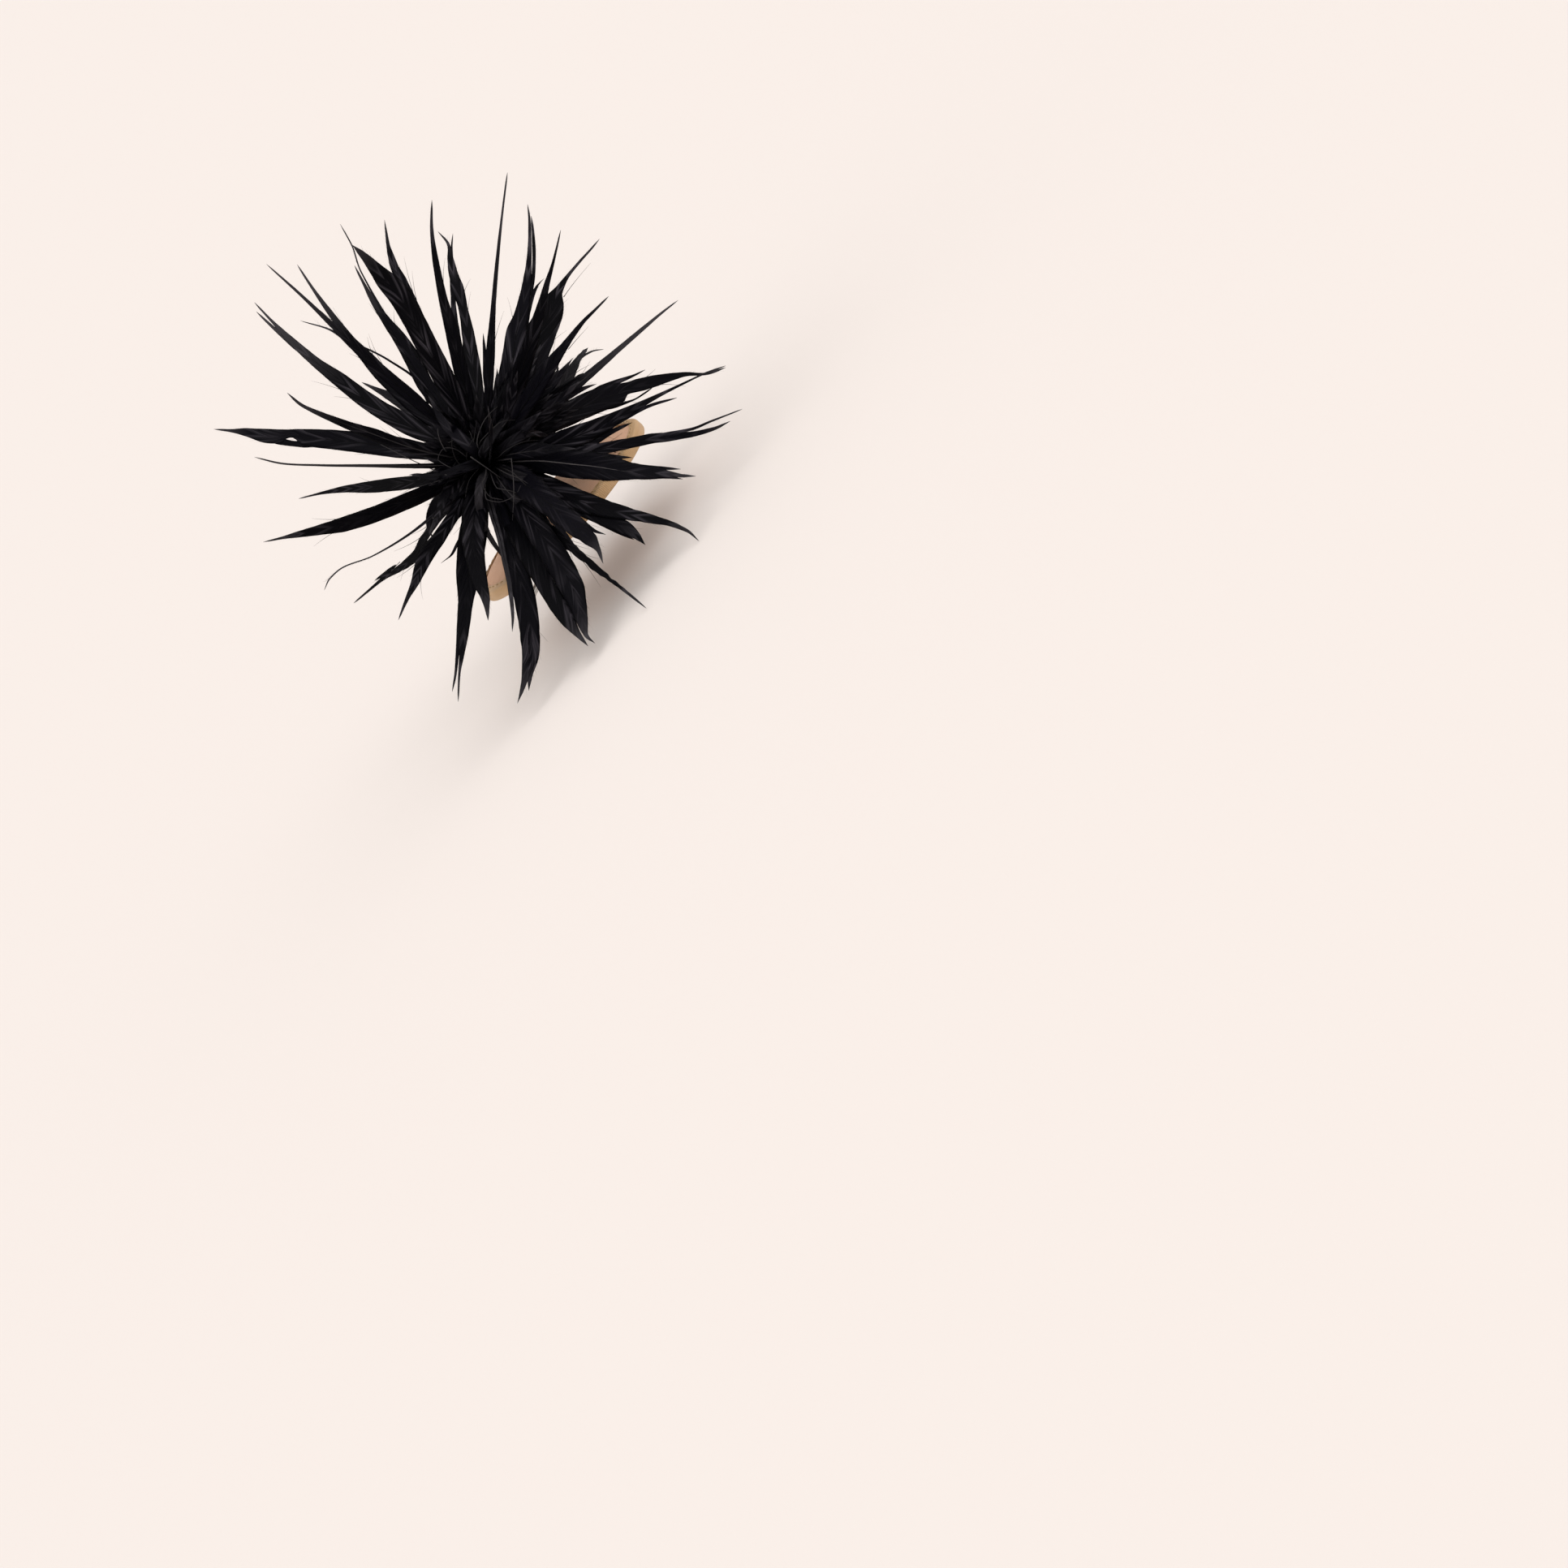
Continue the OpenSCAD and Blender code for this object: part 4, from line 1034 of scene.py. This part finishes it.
def make_thread_ball(turns_of_thread=46):
    """Thread wound round the quills: many turns over a padded core."""
    rng = random.Random(9)
    build = Builder()
    core_r = HUB_R - THREAD_SUNK
    turns = np.linspace(0, TURN, 48, endpoint=False)
    polar = np.linspace(0.02, math.pi - 0.02, 26)
    rings = HUB + core_r * np.stack([
        np.outer(np.sin(polar), np.cos(turns)), np.outer(np.sin(polar), np.sin(turns)),
        np.outer(np.cos(polar), np.ones_like(turns))], axis=-1)
    uv = np.stack(np.broadcast_arrays(polar[:, None] * 5, turns * 5), axis=-1)
    build.tube(rings, uv)
    for _ in range(turns_of_thread):
        axis = unit(np.array([rng.gauss(0, 1), rng.gauss(0, 1), rng.gauss(0, 0.6)]))
        first = unit(np.cross(axis, [0.2, 0.5, 0.8]))
        second = np.cross(axis, first)
        tilt = rng.uniform(-0.45, 0.45)
        radius = HUB_R - rng.uniform(0.3 * MM, THREAD_SUNK)
        a = np.linspace(0, TURN, 44, endpoint=False)[:, None]
        loop = HUB + radius * (math.cos(tilt) * (first * np.cos(a) + second * np.sin(a))
                               + axis * math.sin(tilt))
        sweep(build, loop, THREAD_R, loop=True)
    ball = build.object("wound_thread", [BLACK_THREAD])
    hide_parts("thread_binding")


def make_stem_tape():
    """Crepe tape wound up the stem, each turn overlapping the one below."""
    low, high, centre = box_of("stem_tape")
    wire_r = (box_of("stem_wire")[1] - box_of("stem_wire")[0])[0] / 2
    top_r = high[0] - centre[0]
    pitch, lap, inset = 1.7 * MM, 0.28 * MM, 0.25 * MM
    z = np.linspace(low[2], high[2], 72)
    turn = np.linspace(0, TURN, 40, endpoint=False)
    step = ((z[:, None] - low[2]) / pitch - turn / TURN) % 1.0
    flare = 0.2 * MM * smoothstep((z - high[2] + 1.5 * MM) / (1.5 * MM))[:, None]
    radius = np.maximum(top_r - lap * step - inset + flare, wire_r + 0.1 * MM)
    rings = np.stack([centre[0] + radius * np.cos(turn), centre[1] + radius * np.sin(turn),
                      np.broadcast_to(z[:, None], radius.shape)], axis=-1)
    uv = np.stack(np.broadcast_arrays(z[:, None] / MM, turn * top_r / MM), axis=-1)
    build = Builder()
    build.tube(rings, uv)
    tape = build.object("wound_tape", [TAPE])
    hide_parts("stem_tape")


def make_foot_stitches(count=8):
    """Two-ply stitches that hold the stem's foot to the cover, arching out and down into it."""
    _, high, centre = box_of("flower_stitches")
    inner, outer = 1.1 * MM, high[0] - centre[0] + 0.3 * MM
    build = Builder()
    for i in range(count):
        turn = TURN * i / count + 0.1
        out = np.array([math.cos(turn), math.sin(turn), 0.0])
        q = np.linspace(0, 1, 26)
        path = centre * [1, 1, 0] + out * (inner + (outer - inner) * q[:, None])
        dome = cap_height(COVER_CAP, np.hypot(path[:, 0], path[:, 1]))
        path[:, 2] = dome + (1.05 * np.sin(math.pi * q) ** 0.8 + 0.5 * (1 - q) - 0.25) * MM
        side = np.cross(out, [0, 0, 1.0])
        for ply in (0, math.pi):
            wind = (TURN * 3.2 * q + ply)[:, None]
            strand = path + 0.15 * MM * (side * np.cos(wind) + np.array([0, 0, 1]) * np.sin(wind))
            sweep(build, strand, 0.19 * MM)
    stitches = build.object("foot_stitches", [BLACK_THREAD])
    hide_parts("flower_stitches")


# ---------------------------------------------------------------- base


def make_dome(name, node, material, wrinkle, thickness, seed):
    """A domed layer of cloth as a closed thin sheet, with slight puckers towards its edge."""
    cap = cap_of(node)
    rim = cap[0]
    rng = random.Random(seed)
    phases = [rng.uniform(0, TURN) for _ in range(4)]
    rho = rim * np.sin(np.linspace(0, 0.5 * math.pi, 40))[1:]
    rho = np.concatenate([[0.05 * MM], rho])
    turn = np.linspace(0, TURN, 240, endpoint=False)
    r, a = np.meshgrid(rho, turn, indexing="ij")
    share = r / rim
    pucker = (np.sin(23 * a + phases[0]) + 0.7 * np.sin(37 * a + phases[1]) * share
              + 0.5 * np.sin(9 * a + phases[2] + 3 * share)) * share ** 6
    drift = np.sin(r / MM * 0.21 + phases[3]) * np.sin(2 * a + phases[1]) * share * (1 - share ** 4)
    top = cap_height(cap, r) + wrinkle * (0.5 * pucker + drift - 1)
    outer, inner = (np.stack([r * np.cos(a), r * np.sin(a), height], axis=-1)
                    for height in (top, top - thickness))
    rings = np.concatenate([outer, inner[::-1]], axis=0)
    build = Builder()
    build.tube(rings, rings[..., :2] / MM)
    dome = build.object(name, [material])
    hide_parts(node)


LAP_AT = 0.75 * math.pi              # where the ribbon's ends meet, at the back
RIBBON_THICK = 0.4 * MM


def make_binding():
    """Ribbon folded over the base's edge, ribbed across, its ends lapped at the back."""
    low, high, _ = box_of("edge_binding")
    co = np.array([v.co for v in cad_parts["edge_binding"].data.vertices])
    radius = np.hypot(co[:, 0], co[:, 1])
    rim = COVER_CAP[0]
    out, floor = high[0], low[2]
    inner_top = radius.min()
    inner_low = radius[co[:, 2] < floor + 0.1 * MM].min()
    top = high[2] - cap_height(COVER_CAP, inner_top)
    edge_z = cap_height(COVER_CAP, rim)
    outline = [
        (inner_top, high[2] - 0.04 * MM), (rim - 0.1 * MM, edge_z + top - 0.02 * MM),
        (out - 0.85 * MM, edge_z + top - 0.1 * MM), (out - 0.35 * MM, edge_z + top - 0.35 * MM),
        (out - 0.08 * MM, edge_z - 0.3 * MM), (out - 0.02 * MM, edge_z - 0.9 * MM),
        (out - 0.03 * MM, floor + 1.0 * MM), (out - 0.15 * MM, floor + 0.4 * MM),
        (out - 0.45 * MM, floor + 0.08 * MM), (out - 0.9 * MM, floor), (inner_low, floor),
    ]
    outer = np.array(outline)
    run = np.concatenate([[0], np.cumsum(np.linalg.norm(np.diff(outer, axis=0), axis=1))])
    at = np.linspace(0, run[-1], 34)
    outer = np.stack([curve_through(at, run, outer[:, k]) for k in (0, 1)], axis=-1)
    tangent = unit(np.gradient(outer, axis=0))
    inner = outer + RIBBON_THICK * np.stack([tangent[:, 1], -tangent[:, 0]], axis=-1)
    pr, pz = np.concatenate([outer, inner[::-1]]).T
    at = np.concatenate([at, at[::-1]])
    turn = np.linspace(0, TURN, 360, endpoint=False)
    rng = random.Random(31)
    phase = [rng.uniform(0, TURN) for _ in range(3)]
    gather = (np.sin(41 * turn + phase[0]) * (0.6 + 0.4 * np.sin(5 * turn + phase[1]))
              + 0.5 * np.sin(67 * turn + phase[2]))
    on_top = smoothstep((pz - edge_z + 0.4 * MM) / (0.5 * MM))
    ease = smoothstep((out - pr) / (1.5 * MM)) * on_top
    lap = smoothstep((np.cos(turn - LAP_AT) - 0.994) / 0.003)
    lift = 0.05 * MM * gather[:, None] * ease + 0.13 * MM * lap[:, None] * on_top
    r = np.broadcast_to(pr, lift.shape)
    rings = np.stack([r * np.cos(turn)[:, None], r * np.sin(turn)[:, None], pz + lift], axis=-1)
    uv = np.stack(np.broadcast_arrays((turn * out / MM)[:, None], at / MM), axis=-1)
    build = Builder()
    build.tube(rings, uv, loop=True)
    binding = build.object("ribbon_edge", [RIBBON])
    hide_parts("edge_binding")
    stitch_r = inner_top + 0.55 * MM
    stitches = make_edge_stitches(stitch_r, cap_height(COVER_CAP, stitch_r) + top)


def make_edge_stitches(radius, height, count=62):
    """A row of small running stitches along the ribbon's upper edge."""
    build = Builder()
    for i in range(count):
        start = TURN * i / count
        q = np.linspace(0, 1, 9)
        a = start + TURN / count * 0.52 * q
        z = height - 0.08 * MM + 0.14 * MM * np.sin(math.pi * q)
        r = radius + 0.05 * MM * np.sin(5 * start)
        path = np.stack([r * np.cos(a), r * np.sin(a), z], axis=-1)
        sweep(build, path, 0.1 * MM)
    stitches = build.object("edge_stitches", [TAN_THREAD])
    return stitches


# ---------------------------------------------------------------- clip

LINING_GAP = 0.45 * MM               # from the lining's outer face down to the pad


def make_pad():
    """Felt pad between the clip and the lining: flat below, domed above, softly rounded."""
    low, high, centre = box_of("clip_pad")
    rim, sphere, dome_centre = cap_of("base_lining")
    under_lining = (rim, sphere - LINING_GAP, dome_centre)
    x = np.linspace(-1, 1, 61)
    y = np.linspace(-1, 1, 25)
    gx, gy = np.meshgrid(x, y, indexing="ij")
    half = (high - low) / 2
    corner = np.sqrt(1 - 0.12 * gx ** 8 * gy ** 8)
    px = centre[0] + gx * half[0] * corner
    py = centre[1] + gy * half[1] * corner
    roof = np.minimum(cap_height(under_lining, np.hypot(px, py)), high[2])
    soft = (1 - np.abs(gx) ** 14) * (1 - np.abs(gy) ** 10)
    pinch = 0.3 * MM * np.exp(-((np.abs(gy) - 0.8) / 0.06) ** 2) * (0.6 + 0.4 * np.cos(60 * gx))
    rounding = 0.5 * MM * (1 - soft)
    bottom = low[2] + rounding + pinch * soft * 0.5
    top = np.maximum(roof - rounding, bottom + 0.05 * MM)
    upper = np.stack([px, py, top], axis=-1)
    lower = np.stack([px, py, bottom], axis=-1)
    rings = np.concatenate([upper, lower[:, ::-1]], axis=1)
    build = Builder()
    build.tube(rings, rings[..., :2] / MM)
    pad = build.object("felt_pad", [FELT])
    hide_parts("clip_pad")


def make_spring():
    """Coil round the hinge pin with one leg under the plate and one on the lever."""
    low, high, _ = box_of("clip_spring")
    pin = box_of("clip_hinge_pin")[2]
    wire = 0.3 * MM
    coil_r = 1.5 * MM
    turns, pitch = 6.5, 0.64 * MM
    y0 = turns * pitch / 2
    a = np.linspace(0, TURN * turns, 320)
    coil = np.stack([pin[0] + coil_r * np.sin(a), pin[1] - y0 + pitch * a / TURN,
                     pin[2] - coil_r * np.cos(a)], axis=-1)
    # fixed leg: from the coil's top end, back and up under the plate
    q = np.linspace(0, 1, 24)[1:, None]
    foot = coil[-1]
    plate_point = np.array([low[0] + 1.2 * MM, foot[1], high[2] - wire])
    fixed = np.concatenate([coil, foot + (plate_point - foot) * q])
    build = Builder()
    sweep(build, fixed, wire, 10)
    body = build.object("spring_coil", [SPRING])
    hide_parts("clip_spring")
    start = coil[0]
    tab_point = np.array([low[0] + 0.2 * MM, start[1], low[2] + 0.35 * MM])
    q = np.linspace(-0.04, 1, 24)[:, None]
    leg = start + (tab_point - start) * q
    build = Builder()
    sweep(build, leg, wire, 10)
    moving = build.object("spring_leg", [SPRING], body=LEVER)
    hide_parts("clip_spring")


def paint_cad(nodes, material):
    """Give CAD nodes that stay in view their finish."""
    for node in nodes:
        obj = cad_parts[node]
        if not obj.material_slots:
            obj.data.materials.append(material)
        for slot in obj.material_slots:
            slot.material = material


# ---------------------------------------------------------------- stage

PAPER = rgb(1.0, 0.945, 0.905)
PAPER_STRENGTH = 0.905
FLOOR_ALBEDO = rgb(0.86, 0.815, 0.79)
FLOOR_GRAIN = rgb(0.8, 0.76, 0.74)
FLOOR_GAP = 0.3 * MM                 # between the lowest tip and the floor
FLOOR_REACH = 12.0
KEY_DIRECTION = TO_CAMERA * 0.7 + IMAGE_UP * 0.8 - RIGHT * 0.25 + Vector((0, 0, 0.3))
KEY_STRENGTH = 0.8
KEY_SPREAD = 55                      # degrees, for a soft shadow


def make_stage():
    """A pale floor and an even pale surround."""
    depth = cad_box[0][2] - FLOOR_GAP
    far = FLOOR_REACH
    mesh = bpy.data.meshes.new("floor")
    mesh.from_pydata([(-far, -far, depth), (far, -far, depth), (far, far, depth),
                      (-far, far, depth)], [], [(0, 1, 2, 3)])
    n = Nodes("paper_floor")
    grain = n.noise(n.object_space(), 900.0, 3.0)
    n.set(
        Base_Color=n.mix(n.ramp(grain, 0.0, 0.02), FLOOR_ALBEDO, FLOOR_GRAIN),
        Roughness=0.9,
        IOR=1.2,
    )
    mesh.materials.append(n.material)
    floor = bpy.data.objects.new("floor", mesh)
    bpy.context.scene.collection.objects.link(floor)

    world = bpy.data.worlds.new("studio")
    world.use_nodes = True
    background = world.node_tree.nodes["Background"]
    background.inputs["Color"].default_value = PAPER
    background.inputs["Strength"].default_value = PAPER_STRENGTH
    bpy.context.scene.world = world


def make_key_light():
    data = bpy.data.lights.new("key", "SUN")
    data.energy, data.angle = KEY_STRENGTH, math.radians(KEY_SPREAD)
    sun = bpy.data.objects.new("key", data)
    sun.rotation_mode = "QUATERNION"
    sun.rotation_quaternion = KEY_DIRECTION.to_track_quat("Z", "Y")
    bpy.context.scene.collection.objects.link(sun)


# ---------------------------------------------------------------- build

make_camera()
FEATHER_COUNT = sum(name.startswith("feather_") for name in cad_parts)
for number in range(1, FEATHER_COUNT + 1):
    make_feather(number)
make_down()
make_curls()
make_front()
make_thread_ball()
make_stem_tape()
make_foot_stitches()
make_dome("buckram_core", "base_shell", BUCKRAM, 0.0, 1.2 * MM, 10)
make_dome("cover_cloth", "base_cover", COVER, 0.05 * MM, 0.4 * MM, 11)
make_dome("lining_cloth", "base_lining", LINING, 0.03 * MM, 0.3 * MM, 12)
make_binding()
make_pad()
make_spring()
paint_cad(["clip_plate", "clip_lever", "clip_hinge_pin"], NICKEL)
paint_cad(["stem_wire"], WIRE)
make_stage()
make_key_light()
bpy.context.scene.view_settings.view_transform = "Standard"


# ---------------------------------------------------------------- finish

bpy.context.view_layer.update()
